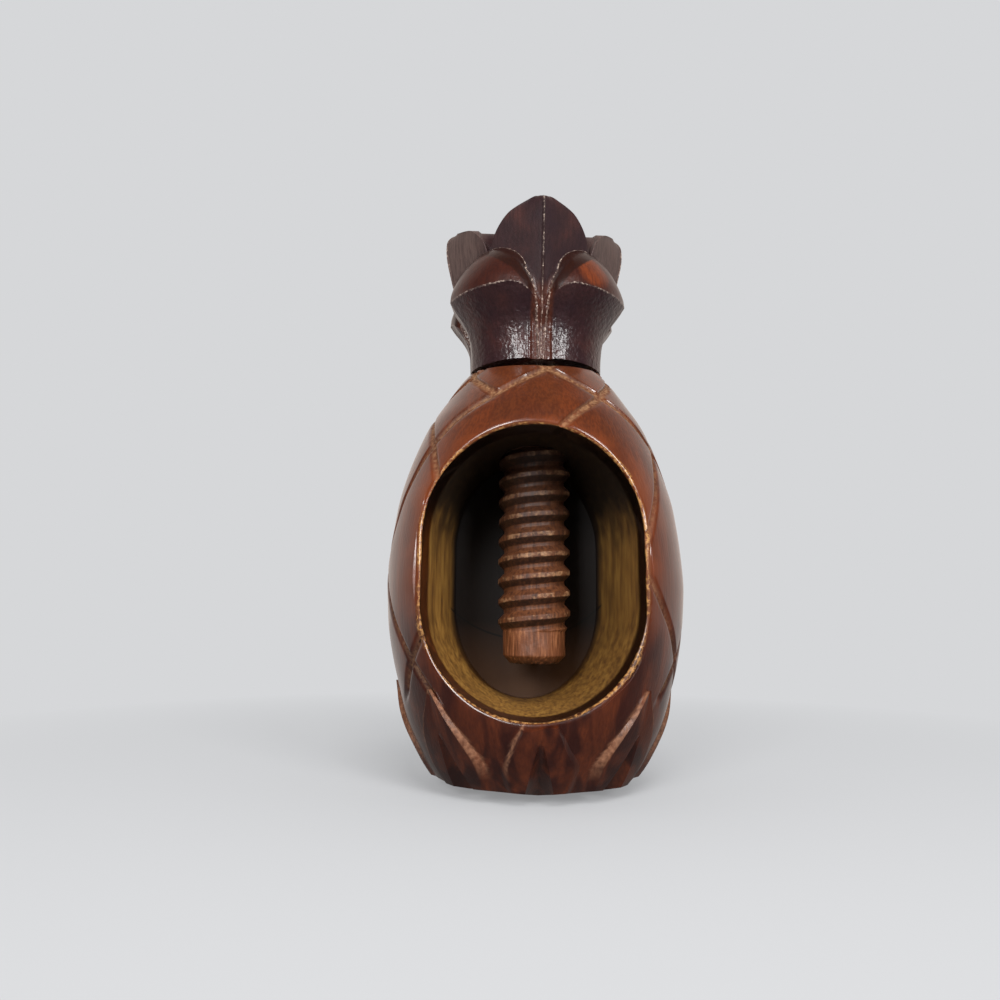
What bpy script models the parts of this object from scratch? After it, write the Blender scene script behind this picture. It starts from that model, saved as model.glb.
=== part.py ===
"""A carved wooden screw nutcracker: a leafy crown turns a wooden screw down into the body's nut chamber.

Metres, +Z up. The origin is the middle of the flat foot, and the chamber opens towards -Y. The crown, the
screw and the tenon hang from an empty on the screw's axis, at the height where the crown meets the neck.
"""

import math

import bmesh
import bpy
from mathutils import Matrix, Vector

# The turned body
BODY_HEIGHT = 0.1048
BODY_RADIUS = 0.0378
BELLY_HEIGHT = 0.0498
FOOT_RADIUS = 0.0206
NECK_RADIUS = 0.0177
# how far a groove, a leaf or a cutter runs on past what it cuts
OVERRUN = 0.003
# points closer than this are one
WELD = 0.000002

# The nut chamber, two bores side by side whose walls draw in towards the back
CHAMBER_FLOOR_HEIGHT = 0.0190
CHAMBER_MOUTH_WIDTH = 0.0532
CHAMBER_BACK_WIDTH = 0.0410
CHAMBER_BACK_WALL = 0.0225
CHAMBER_SIDE_SHIFT = -0.0016
CHAMBER_DRAFT = 0.0005

# The neck, threaded for the screw
NECK_LENGTH = 0.0198
SEAT_GAP = 0.0003
SEAT_WEAR = 0.0020
SEAT_WEAR_RUN = 0.0120

# The grooves that cut the body into diamonds
GROOVE_WIDTH = 0.0028
GROOVE_DEPTH = 0.0011
GROOVE_COUNT = 6
GROOVE_TURN = math.radians(6)

# The leaves round the foot
FOOT_LEAF_HEIGHT = 0.0250
FOOT_LEAF_RELIEF = 0.0010
FOOT_LEAF_FLUTE = 0.0046
FOOT_LEAF_FLUTE_HEIGHT = 0.0160
FOOT_LEAF_SINK = 0.0030
FOOT_LEAF_EDGE = 0.0004
FOOT_LEAF_COUNT = 8

# The screw and its thread
SCREW_RADIUS = 0.0095
THREAD_PITCH = 0.0052
THREAD_DEPTH = 0.0016
THREAD_CREST = 0.0009
THREAD_CLEARANCE = 0.00045
# how far below the crown's underside a crest passes the front
THREAD_START = 0.0017
NOSE_GAP = 0.0105
NOSE_LENGTH = 0.0080
NOSE_CLEARANCE = 0.0002
NOSE_CHAMFER = 0.0020
TENON_RADIUS = 0.0080
TENON_LENGTH = 0.0200
TENON_CLEARANCE = 0.0003

# The crown
CROWN_HEIGHT = 0.0429
CROWN_RADIUS = 0.0247
CROWN_FOOT_RADIUS = 0.0180
CROWN_TURN = math.radians(3)
BROW_HEIGHT = 0.0177
BROW_DROP = 0.0060
DOME_TOP = 0.0290
DOME_CORNER_RADIUS = 0.0165
CREASE_DROP = 0.0090
MIDRIB_RECESS = 0.0012
TALL_LEAF_WIDTH = 0.0232
TALL_LEAF_TIP_RADIUS = 0.0189
TALL_LEAF_ROOT = 0.0120
TALL_LEAF_ROOT_RADIUS = 0.0188
DISH_DEPTH = 0.0020
DISH_RADIUS = 0.0170

# How finely the round pieces are divided, and the angle from which an edge is sharp
CROWN_SIDES = 72
THREAD_SIDES = 24
ARC_STEPS = 8
SHARP_ANGLE = math.radians(30)

# The body's outline from foot to belly: shares of that height, and of the way from one radius to the other
BELOW_BELLY_SHARES = [
    (0.00, 0.00), (0.02, 0.09), (0.055, 0.215), (0.135, 0.395), (0.215, 0.525), (0.29, 0.635),
    (0.37, 0.715), (0.48, 0.795), (0.60, 0.885), (0.76, 0.955), (0.88, 0.985), (1.00, 1.00),
]
# The same from belly to neck
ABOVE_BELLY_SHARES = [
    (0.15, 0.975), (0.26, 0.935), (0.375, 0.88), (0.525, 0.755), (0.65, 0.625),
    (0.74, 0.505), (0.82, 0.365), (0.90, 0.215), (0.95, 0.115), (1.00, 0.00),
]
# Where the grooves cross: turns in half spacings, and shares of the body's height, on past both ends
GROOVE_ROW_SHARES = [
    (-2.0, 1.20), (-1.0, 1.06), (0.0, 0.97), (1.0, 0.897), (2.0, 0.783), (3.0, 0.515),
    (4.0, 0.296), (4.5, 0.19), (5.0, 0.11), (6.0, 0.03), (7.0, -0.04), (8.0, -0.11),
]
# Between two grooves, the places of the skin's lines, as shares of half a spacing
DIAMOND_LINE_SHARES = [0.55, 1.0, 1.45]
# The widest that half a groove gets, and a first guess at it, as shares of half a spacing
GROOVE_WIDEST_SHARE = 0.45
GROOVE_FIRST_SHARE = 0.1
# The top share of a foot leaf's height over which the grooves run out behind it
GROOVE_FADE_SHARE = 0.25
# A foot leaf's outline: shares of its height, and of its widest half angle
FOOT_LEAF_SHARES = [
    (0.04, 0.70), (0.14, 0.82), (0.26, 1.0), (0.37, 1.0),
    (0.54, 0.76), (0.70, 0.50), (0.82, 0.30), (0.95, 0.08),
]
# Across a foot leaf, its bevels' tops and its middle as shares of its half width
FOOT_LEAF_TOP_SHARES = [-0.74, 0.0, 0.74]
# A leaf's widest half angle as a share of half its spacing, and half its flute's width as one of its depth
FOOT_LEAF_FILL_SHARE = 0.83
FLUTE_WIDTH_SHARE = 0.7
# A corner leaf's face from the crown's foot to its brow: shares of the brow's height, and of the flare
FLARE_SHARES = [(0.0, 0.0), (0.22, 0.04), (0.45, 0.11), (0.60, 0.27), (0.73, 0.48), (0.87, 0.78), (1.0, 1.0)]
# Its dome from the brow to its top: shares of that height, and of the way in to the dome's corner
DOME_SHARES = [(0.20, 0.02), (0.42, 0.14), (0.65, 0.36), (0.86, 0.68), (1.0, 1.0)]
# How far the valleys beside a midrib reach, at the brow and at the crease, as shares of the way to the corner
BROW_VALLEY_SHARE = 0.44
CREASE_VALLEY_SHARE = 0.70
# The share of the flare that a midrib lacks, and where in the valley its recess has its full depth
MIDRIB_FLARE_LOSS_SHARE = 0.62
MIDRIB_FULL_SHARE = 0.6
# A tall leaf's outline above its root: shares of the height from there to the tip, and of its half width
TALL_LEAF_SHARES = [
    (0.0, 1.0), (0.56, 1.0), (0.67, 0.96), (0.745, 0.85),
    (0.82, 0.70), (0.89, 0.49), (0.955, 0.30), (1.0, 0.17),
]
# Its outer face from root to top: shares of that height, and of the way from its root's radius to the crown's
TALL_LEAF_FACE_SHARES = [(0.0, 0.0), (0.26, 0.30), (0.48, 0.62), (0.66, 0.90), (0.80, 1.0)]


def curve_through(points, at):
    """Height or turn at a place on a smooth curve through (place, value) points, by cubic Hermite pieces."""
    points = sorted(points)
    last = len(points) - 1
    slopes = []
    for i in range(last + 1):
        before, after = points[max(i - 1, 0)], points[min(i + 1, last)]
        slopes.append((after[1] - before[1]) / (after[0] - before[0]))
    i = max(k for k in range(last) if k == 0 or points[k][0] <= at)
    (x0, y0), (x1, y1) = points[i], points[i + 1]
    span = x1 - x0
    t = (at - x0) / span
    rest = 1 - t
    start = y0 * rest * rest * (1 + 2 * t) + slopes[i] * span * t * rest * rest
    end = y1 * t * t * (3 - 2 * t) - slopes[i + 1] * span * t * t * rest
    return start + end


def body_profile():
    """(radius, height) points up the body's side."""
    points = []
    for up, out in BELOW_BELLY_SHARES:
        points.append((FOOT_RADIUS + out * (BODY_RADIUS - FOOT_RADIUS), up * BELLY_HEIGHT))
    for up, out in ABOVE_BELLY_SHARES:
        height = BELLY_HEIGHT + up * (BODY_HEIGHT - BELLY_HEIGHT)
        points.append((NECK_RADIUS + out * (BODY_RADIUS - NECK_RADIUS), height))
    return points


def body_radius(height):
    """The body's radius at a height, straight between its outline's points.

    Past the ends it is carried on, but comes no nearer the axis than half the neck's radius.
    """
    profile = body_profile()
    i = max(k for k in range(len(profile) - 1) if k == 0 or profile[k][1] <= height)
    (r0, z0), (r1, z1) = profile[i], profile[i + 1]
    return max(NECK_RADIUS / 2, r0 + (r1 - r0) * (height - z0) / (z1 - z0))


def around(radius, angle, height):
    """A point at an angle to the right of the front, seen from the front."""
    return Vector((radius * math.sin(angle), -radius * math.cos(angle), height))


def collection(name, inside):
    made = bpy.data.collections.new(name)
    inside.children.link(made)
    return made


def face_out(shape):
    """Splits a closed mesh's bent faces into flat ones and turns them all outward."""
    bmesh.ops.triangulate(shape, faces=shape.faces)
    bmesh.ops.recalc_face_normals(shape, faces=shape.faces)
    if shape.calc_volume(signed=True) < 0:
        bmesh.ops.reverse_faces(shape, faces=shape.faces)


def cut_flat(shape, low, high):
    """Cuts an open tube off flat at two heights and closes it there."""
    for height, way in ((low, -1), (high, 1)):
        everything = [*shape.verts, *shape.edges, *shape.faces]
        level, up = (0, 0, height), (0, 0, way)
        bmesh.ops.bisect_plane(
            shape, geom=everything, dist=WELD, plane_co=level, plane_no=up, clear_outer=True
        )
        rim = [e for e in shape.edges if e.is_boundary and all(abs(v.co.z - height) < WELD for v in e.verts)]
        bmesh.ops.holes_fill(shape, edges=rim)
    face_out(shape)


def finish(shape, name, into):
    """A closed mesh becomes an object."""
    face_out(shape)
    mesh = bpy.data.meshes.new(name)
    shape.to_mesh(mesh)
    shape.free()
    thing = bpy.data.objects.new(name, mesh)
    into.objects.link(thing)
    return thing


def loft(name, rings, into):
    """A solid through rings of as many points each, closed at both ends."""
    shape = bmesh.new()
    rows = [[shape.verts.new(point) for point in ring] for ring in rings]
    sides = len(rows[0])
    for low, high in zip(rows, rows[1:]):
        for j in range(sides):
            k = (j + 1) % sides
            shape.faces.new((low[j], low[k], high[k], high[j]))
    shape.faces.new(reversed(rows[0]))
    shape.faces.new(rows[-1])
    return finish(shape, name, into)


def turned(name, profile, sides, into):
    """A solid turned from (radius, height) points that run down its outer side, closed on the axis."""
    mesh = bpy.data.meshes.new(name)
    points = [(0, profile[0][1]), *profile, (0, profile[-1][1])]
    edges = [(i, i + 1) for i in range(len(points) - 1)]
    mesh.from_pydata([(radius, 0, height) for radius, height in points], edges, [])
    thing = bpy.data.objects.new(name, mesh)
    into.objects.link(thing)
    screw = thing.modifiers.new("turn", "SCREW")
    screw.steps = screw.render_steps = sides
    screw.use_merge_vertices = True
    screw.merge_threshold = WELD
    return thing


def as_mesh(thing):
    """The object's evaluated shape as a mesh of its own, with its loose caps welded on."""
    seen = thing.evaluated_get(bpy.context.evaluated_depsgraph_get())
    mesh = bpy.data.meshes.new_from_object(seen)
    shape = bmesh.new()
    shape.from_mesh(mesh)
    bmesh.ops.remove_doubles(shape, verts=shape.verts, dist=WELD)
    face_out(shape)
    shape.to_mesh(mesh)
    shape.free()
    solid = bpy.data.objects.new(thing.name, mesh)
    solid.matrix_world = thing.matrix_world
    for holder in thing.users_collection:
        holder.objects.link(solid)
    name = thing.name
    bpy.data.objects.remove(thing)
    solid.name = name
    return solid


def block(name, low, high, into):
    """A box between two corners."""
    shape = bmesh.new()
    size = [b - a for a, b in zip(low, high)]
    middle = [(a + b) / 2 for a, b in zip(low, high)]
    bmesh.ops.create_cube(shape, size=1, matrix=Matrix.Translation(middle) @ Matrix.Diagonal((*size, 1)))
    return finish(shape, name, into)


def carve(thing, tool, operation):
    """One Boolean step, with an object or a collection as its tool."""
    step = thing.modifiers.new(operation.lower(), "BOOLEAN")
    step.operation = operation
    step.solver = "EXACT"
    if isinstance(tool, bpy.types.Collection):
        step.operand_type = "COLLECTION"
        step.collection = tool
    else:
        step.object = tool


def tool_only(things):
    for thing in things:
        thing.hide_render = True
        thing.display_type = "WIRE"


def wood(name, colour, roughness):
    material = bpy.data.materials.new(name)
    material.use_nodes = True
    shader = material.node_tree.nodes["Principled BSDF"]
    shader.inputs["Base Color"].default_value = (*colour, 1)
    shader.inputs["Roughness"].default_value = roughness
    shader.inputs["Metallic"].default_value = 0
    return material


def threaded(name, growth, low, high, into):
    """A right-hand threaded rod between two heights below the crown, its radii grown all round."""
    crest = SCREW_RADIUS + growth
    root = crest - THREAD_DEPTH
    flank = (THREAD_PITCH - 2 * THREAD_CREST) / 2
    turns = math.ceil((high - low) / THREAD_PITCH) + 3
    # the profile stands a quarter turn after the front, where the crest has risen by a quarter pitch
    first = (math.floor(low / THREAD_PITCH) - 1) * THREAD_PITCH
    first += THREAD_PITCH / 4 - THREAD_CREST / 2 - THREAD_START % THREAD_PITCH
    rises = [(crest, 0), (crest, THREAD_CREST), (root, THREAD_CREST + flank)]
    rises += [(root, THREAD_PITCH - flank), (crest, THREAD_PITCH)]
    edges = [(i, i + 1) for i in range(len(rises) - 1)]
    mesh = bpy.data.meshes.new(name)
    mesh.from_pydata([(radius, 0, first + rise) for radius, rise in rises], edges, [])
    thing = bpy.data.objects.new(name, mesh)
    into.objects.link(thing)
    screw = thing.modifiers.new("thread", "SCREW")
    screw.steps = screw.render_steps = THREAD_SIDES
    screw.screw_offset = THREAD_PITCH
    screw.iterations = turns
    thing = as_mesh(thing)
    shape = bmesh.new()
    shape.from_mesh(thing.data)
    cut_flat(shape, low, high)
    mesh = thing.data
    shape.to_mesh(mesh)
    shape.free()
    return thing


def groove_height(turns):
    """Where a groove is after that many half spacings round, counted from the crossings at the neck."""
    return BODY_HEIGHT * curve_through(GROOVE_ROW_SHARES, turns)


def groove_half(turns):
    """Half a groove's width there, in half spacings."""
    round_way = body_radius(groove_height(turns)) * math.pi / GROOVE_COUNT
    up_way = groove_height(turns - 0.5) - groove_height(turns + 0.5)
    return GROOVE_WIDTH / 2 * math.hypot(round_way, up_way) / (round_way * up_way)


def diamonds(name, into):
    """The body's carved skin as a lattice whose lines run along both families of grooves, closed flat.

    One family's lines have the same sum of turns round and turns down, the other's the same difference.
    Where a line is half a groove away from a groove's middle depends on its height, and is found in 3 steps.
    """
    shape = bmesh.new()
    first = GROOVE_ROW_SHARES[0][0] + 0.5
    last = GROOVE_ROW_SHARES[-1][0] - 0.5
    lines = len(DIAMOND_LINE_SHARES) + 3
    made = {}

    def corner(i, j):
        while i >= lines * GROOVE_COUNT:
            i, j = i - lines * GROOVE_COUNT, j - lines * GROOVE_COUNT
        if (i, j) not in made:
            half = GROOVE_FIRST_SHARE
            for _ in range(3):
                places = (0, half, *DIAMOND_LINE_SHARES, 2 - half)
                plus = 2 * (i // lines) + places[i % lines]
                minus = 2 * (j // lines) + places[j % lines]
                half = min(GROOVE_WIDEST_SHARE, groove_half((plus - minus) / 2))
            height = groove_height((plus - minus) / 2)
            above_leaves = height / FOOT_LEAF_HEIGHT - (1 - GROOVE_FADE_SHARE)
            cut = min(1, max(0, above_leaves / GROOVE_FADE_SHARE))
            if i % lines and j % lines:
                cut = 0
            turn = GROOVE_TURN + (plus + minus) / 2 * math.pi / GROOVE_COUNT
            made[i, j] = shape.verts.new(around(body_radius(height) - cut * GROOVE_DEPTH, turn, height))
        return made[i, j]

    for i in range(lines * GROOVE_COUNT):
        for j in range(i - math.ceil(last * lines), i - math.floor(first * lines)):
            shape.faces.new((corner(i, j), corner(i + 1, j), corner(i + 1, j + 1), corner(i, j + 1)))
    bmesh.ops.triangulate(shape, faces=shape.faces)
    cut_flat(shape, -OVERRUN, BODY_HEIGHT)
    return finish(shape, name, into)


def foot_leaf(name, middle, into):
    """A pointed leaf laid on the body's foot, bevelled at its sides."""
    widest = FOOT_LEAF_FILL_SHARE * math.pi / FOOT_LEAF_COUNT
    heights = [(-OVERRUN / 2, FOOT_LEAF_SHARES[0][1])]
    heights += [(share * FOOT_LEAF_HEIGHT, width) for share, width in FOOT_LEAF_SHARES]
    rings = []
    for height, width in heights:
        base = body_radius(height)
        half = width * widest
        ring = [around(base - FOOT_LEAF_EDGE, middle - half, height)]
        for share in FOOT_LEAF_TOP_SHARES:
            ring.append(around(base + FOOT_LEAF_RELIEF, middle + share * half, height))
        ring.append(around(base - FOOT_LEAF_EDGE, middle + half, height))
        ring += [around(base - FOOT_LEAF_SINK, middle + side * half, height) for side in (1, -1)]
        rings.append(ring)
    return loft(name, rings, into)


def foot_flute(name, middle, into):
    """A V notch that deepens and widens down a leaf's middle."""
    rings = []
    for height in (-OVERRUN, FOOT_LEAF_FLUTE_HEIGHT / 2, FOOT_LEAF_FLUTE_HEIGHT):
        share = height / FOOT_LEAF_FLUTE_HEIGHT
        reach = FOOT_LEAF_RELIEF + OVERRUN
        depth = max(WELD, (1 - share) * FOOT_LEAF_FLUTE)
        base = body_radius(height) + FOOT_LEAF_RELIEF
        ring = [around(base - depth, middle, height)]
        for side in (1, -1):
            spread = math.asin(side * FLUTE_WIDTH_SHARE * (depth + reach) / (base + reach))
            ring.append(around(base + reach, middle + spread, height))
        rings.append(ring)
    return loft(name, rings, into)


def stadium(width, low, high, y):
    """Two half circles joined by straight sides in the plane at y, upright unless it is wider than high."""
    radius = min(width, high - low) / 2
    aside = width / 2 - radius
    points = []
    for centre, start in ((high - radius, 0), (low + radius, math.pi)):
        for i in range(2 * ARC_STEPS + 1):
            angle = start + math.pi * i / (2 * ARC_STEPS)
            across = math.copysign(aside, math.cos(angle)) + radius * math.cos(angle)
            points.append((CHAMBER_SIDE_SHIFT + across, y, centre + radius * math.sin(angle)))
    return points


def make_body(parts, tools):
    """The turned and carved body, with the nut chamber and the threaded neck."""
    body = diamonds("body", parts)
    leaves = collection("foot_leaves", tools)
    flutes = collection("foot_flutes", tools)
    for n in range(FOOT_LEAF_COUNT):
        middle = 2 * math.pi * n / FOOT_LEAF_COUNT
        foot_leaf(f"foot_leaf_{n + 1}", middle, leaves)
        foot_flute(f"foot_flute_{n + 1}", middle, flutes)
    floor, roof = CHAMBER_FLOOR_HEIGHT, BODY_HEIGHT - NECK_LENGTH
    reach = BODY_RADIUS + OVERRUN
    back_y = BODY_RADIUS - CHAMBER_BACK_WALL
    mouth = stadium(CHAMBER_MOUTH_WIDTH, floor - CHAMBER_DRAFT, roof + CHAMBER_DRAFT, -reach)
    back = stadium(CHAMBER_BACK_WIDTH, floor + CHAMBER_DRAFT, roof - CHAMBER_DRAFT, back_y)
    chamber = loft("chamber_tool", [mouth, back], tools)
    bore = threaded("neck_thread_tool", THREAD_CLEARANCE, -SEAT_GAP - NECK_LENGTH - OVERRUN, OVERRUN, tools)
    bore.location.z = BODY_HEIGHT + SEAT_GAP
    saw = block("foot_saw", (-reach, -reach, -2 * OVERRUN), (reach, reach, 0), tools)
    wear = block("seat_wear_tool", (-reach, -reach, 0), (reach, 0, reach), tools)
    wear.location = (0, -NECK_RADIUS + SEAT_WEAR_RUN, BODY_HEIGHT)
    wear.rotation_euler.x = math.atan2(SEAT_WEAR, SEAT_WEAR_RUN)
    carve(body, leaves, "UNION")
    for tool in (flutes, saw, wear, chamber, bore):
        carve(body, tool, "DIFFERENCE")
    tool_only([*leaves.objects, *flutes.objects, saw, wear, chamber, bore])
    body.data.materials.append(wood("stained_body", (0.20, 0.055, 0.014), 0.32))
    return body


def make_screw(parts, axis):
    """The threaded rod from the crown down into the chamber, its nose turned to pass the neck's thread."""
    top = -SEAT_GAP
    bottom = -(BODY_HEIGHT + SEAT_GAP - CHAMBER_FLOOR_HEIGHT - NOSE_GAP)
    nose_radius = SCREW_RADIUS - THREAD_DEPTH + THREAD_CLEARANCE - NOSE_CLEARANCE
    screw = threaded("screw", 0, bottom, top, parts)
    for vertex in screw.data.vertices:
        up = vertex.co.z - bottom
        if up >= NOSE_LENGTH + NOSE_CHAMFER:
            continue
        limit = nose_radius - max(0, NOSE_CHAMFER - up)
        if up > NOSE_LENGTH:
            limit += (SCREW_RADIUS - nose_radius) * (up - NOSE_LENGTH) / NOSE_CHAMFER
        flat = Vector((vertex.co.x, vertex.co.y, 0))
        if flat.length > limit or up < NOSE_LENGTH:
            vertex.co = flat.normalized() * limit + Vector((0, 0, vertex.co.z))
    screw.parent = axis
    screw.data.materials.append(wood("raw_screw", (0.16, 0.065, 0.040), 0.7))
    return screw


def make_tenon(parts, axis):
    """The round end of the screw's dowel, glued into the crown."""
    low, high = SEAT_GAP, SEAT_GAP + TENON_LENGTH
    tenon = turned("screw_tenon", [(TENON_RADIUS, high), (TENON_RADIUS, low)], THREAD_SIDES, parts)
    tenon.parent = axis
    tenon.data.materials.append(wood("raw_tenon", (0.16, 0.065, 0.040), 0.75))
    return tenon


def crown_ring(row, kind):
    """One ring round the crown's four corner leaves: brow and crease sink towards each tall leaf's midrib."""
    ring = []
    for j in range(CROWN_SIDES):
        angle = 2 * math.pi * j / CROWN_SIDES
        # from 0 on a midrib to 1 on a corner leaf's middle
        off = abs((angle + math.pi / 4) % (math.pi / 2) - math.pi / 4) / (math.pi / 4)
        near = max(0, 1 - off / BROW_VALLEY_SHARE)
        brow = BROW_HEIGHT - BROW_DROP * near**2
        crease = DOME_TOP - CREASE_DROP * max(0, 1 - off / CREASE_VALLEY_SHARE) ** 2
        foot = CROWN_FOOT_RADIUS - MIDRIB_RECESS * min(1, near / MIDRIB_FULL_SHARE)
        flare = (CROWN_RADIUS - CROWN_FOOT_RADIUS) * (1 - MIDRIB_FLARE_LOSS_SHARE * near)
        up, out = row
        if kind == "flare":
            height = up * brow
            radius = foot + out * flare
        else:
            height = brow + up * (crease - brow)
            radius = foot + flare + out * (DOME_CORNER_RADIUS - foot - flare)
        ring.append(around(radius, angle, height))
    return ring


def make_crown(parts, tools, axis):
    """The carved knob: four domed corner leaves below, four tall leaves between and above them."""
    rings = [crown_ring(row, "flare") for row in FLARE_SHARES]
    rings += [crown_ring(row, "dome") for row in DOME_SHARES]
    crown = loft("crown", rings, parts)
    half = TALL_LEAF_WIDTH / 2
    tall = CROWN_HEIGHT - TALL_LEAF_ROOT
    side = [(share * half, TALL_LEAF_ROOT + up * tall) for up, share in TALL_LEAF_SHARES]
    outline = side + [(-x, z) for x, z in reversed(side)]
    reach = CROWN_RADIUS + OVERRUN
    slabs = []
    for name, turn in (("tall_leaves_front_back", 0), ("tall_leaves_left_right", math.pi / 2)):
        slab = loft(name, [[Vector((x, y, z)) for x, z in outline] for y in (-reach, reach)], tools)
        slab.data.transform(Matrix.Rotation(turn, 4, "Z"))
        slab.parent = axis
        slabs.append(slab)
    face = []
    for up, out in TALL_LEAF_FACE_SHARES:
        radius = TALL_LEAF_ROOT_RADIUS + out * (CROWN_RADIUS - TALL_LEAF_ROOT_RADIUS)
        face.append((radius, TALL_LEAF_ROOT + up * tall))
    face.append((TALL_LEAF_TIP_RADIUS, CROWN_HEIGHT))
    limit = turned("tall_leaf_limit", face[::-1], CROWN_SIDES, tools)
    limit.parent = axis
    carve(slabs[0], slabs[1], "UNION")
    carve(slabs[0], limit, "INTERSECT")
    sphere = (DISH_RADIUS**2 + DISH_DEPTH**2) / (2 * DISH_DEPTH)
    arc = []
    for i in range(ARC_STEPS + 1):
        radius = (DISH_RADIUS + OVERRUN) * i / ARC_STEPS
        arc.append((radius, CROWN_HEIGHT - DISH_DEPTH + sphere - math.sqrt(sphere**2 - radius**2)))
    dish = turned("dish_tool", [(arc[-1][0], CROWN_HEIGHT + OVERRUN), *arc[:0:-1]], CROWN_SIDES, tools)
    dish.parent = axis
    hole = TENON_RADIUS + TENON_CLEARANCE
    depth = SEAT_GAP + TENON_LENGTH + TENON_CLEARANCE
    socket = turned("socket_tool", [(hole, depth), (hole, -OVERRUN)], THREAD_SIDES, tools)
    socket.parent = axis
    carve(crown, slabs[0], "UNION")
    carve(crown, dish, "DIFFERENCE")
    carve(crown, socket, "DIFFERENCE")
    tool_only([*slabs, limit, dish, socket])
    for thing in (crown, *slabs):
        thing.rotation_euler.z = CROWN_TURN
    crown.parent = axis
    crown.data.materials.append(wood("stained_crown", (0.075, 0.022, 0.014), 0.35))
    return crown


for old in list(bpy.data.objects):
    bpy.data.objects.remove(old)

parts = collection("screw_nutcracker", bpy.context.scene.collection)
tools = collection("cutters", bpy.context.scene.collection)
screw_axis = bpy.data.objects.new("screw_axis", None)
screw_axis.location.z = BODY_HEIGHT + SEAT_GAP
parts.objects.link(screw_axis)

make_body(parts, tools)
make_screw(parts, screw_axis)
make_tenon(parts, screw_axis)
make_crown(parts, tools, screw_axis)
for thing in parts.objects:
    if thing.type == "MESH":
        thing.data.shade_smooth()
        thing.data.set_sharp_from_angle(angle=SHARP_ANGLE)
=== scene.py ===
"""A carved wooden screw nutcracker: its body, screw and crown, and the plain studio round them."""
import math

import bmesh
import bpy
import numpy as np
from mathutils import Matrix


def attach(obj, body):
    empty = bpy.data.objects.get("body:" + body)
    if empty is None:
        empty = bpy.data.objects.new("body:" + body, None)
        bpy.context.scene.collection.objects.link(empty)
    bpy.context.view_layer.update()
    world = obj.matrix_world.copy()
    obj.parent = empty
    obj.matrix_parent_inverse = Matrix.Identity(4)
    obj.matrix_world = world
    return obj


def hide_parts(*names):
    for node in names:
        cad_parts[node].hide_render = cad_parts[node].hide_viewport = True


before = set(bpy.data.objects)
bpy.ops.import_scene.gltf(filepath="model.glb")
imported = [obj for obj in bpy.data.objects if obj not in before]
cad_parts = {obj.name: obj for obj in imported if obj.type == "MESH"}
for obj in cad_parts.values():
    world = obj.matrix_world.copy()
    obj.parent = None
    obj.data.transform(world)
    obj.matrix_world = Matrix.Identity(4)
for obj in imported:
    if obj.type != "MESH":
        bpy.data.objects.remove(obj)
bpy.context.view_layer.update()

# Body: one block of hardwood, turned to the fruit's outline on a lathe. Diamonds are cut into its skin with a
# V gouge and eight leaves stand round its foot. The chamber is two overlapping bored circles, the neck is
# tapped for the wooden screw. The outside is stained red brown and varnished, the chamber is left nearly raw.

MM = 0.001
# Points closer together than this many mm are one point
SAME_POINT = 0.002
BODY_HEIGHT = 104.8
BODY_RADIUS = 37.8
# Height and radius of the turned outline, foot to neck
BODY_OUTLINE = [
    (-6.0, 15.0), (-3.0, 19.4), (0.0, 22.4), (1.0, 23.2), (2.7, 24.7), (4.7, 26.2), (6.7, 27.5), (10.7, 29.7),
    (14.4, 31.5), (18.4, 32.9), (23.9, 34.3), (29.9, 35.8), (37.8, 37.1), (43.8, 37.55), (49.8, 37.8),
    (58.0, 37.3), (64.1, 36.5), (70.4, 35.4), (78.7, 32.9), (85.5, 30.3), (90.5, 27.9), (94.9, 25.0),
    (99.3, 22.0), (102.1, 20.0), (104.8, 17.7), (108.0, 15.0), (126.0, 10.0),
]
GROOVE_WIDTH = 2.5
GROOVE_DEPTH = 0.85
GROOVES = 6
GROOVE_TURN = math.radians(6)
# Where the grooves cross: steps down from the neck, and the height there
GROOVE_ROWS = [
    (-2.0, 125.8), (-1.0, 111.1), (0.0, 101.7), (1.0, 94.0), (2.0, 82.1), (3.0, 54.0),
    (4.0, 31.0), (4.5, 19.9), (5.0, 11.5), (6.0, 3.1), (7.0, -4.2), (8.0, -11.5),
]
# The one line of the diamonds that was never cut, above the chamber: its angles, and the height it is below
UNCUT_LEFT, UNCUT_RIGHT = (-0.47, -0.41), (0.10, 0.18)
UNCUT_TOP = (96, 98)
LEAF_HEIGHT = 25.0
LEAVES = 8
# A foot leaf's height and half angle in degrees
LEAF_SIDES = [
    (-2.0, 15.0), (1.0, 16.2), (3.5, 17.8), (6.5, 18.8), (9.2, 18.6), (13.5, 14.4), (17.5, 9.6), (20.5, 5.6),
    (23.5, 2.0), (25.0, 0.3),
]
# The two leaves beside the front one lean towards it at the foot, by this angle
LEAF_LEAN = math.radians(4.5)
# A notch down a leaf's middle: its height, its depth at the foot, and its half width as a share of its depth
FLUTE_HEIGHT = 16.2
FLUTE_DEPTH = 4.9
FLUTE_SPREAD = 0.66
# The foot is flat this far out from the axis, and worn off at a slope past it
FOOT_FLAT = 11.5
FOOT_SLOPE = math.radians(12)
# The front of the top edge is worn down at a slope, from this far in front of the axis on
TOP_FLAT = 5.7
TOP_SLOPE = math.atan2(2.0, 12.0)


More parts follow.
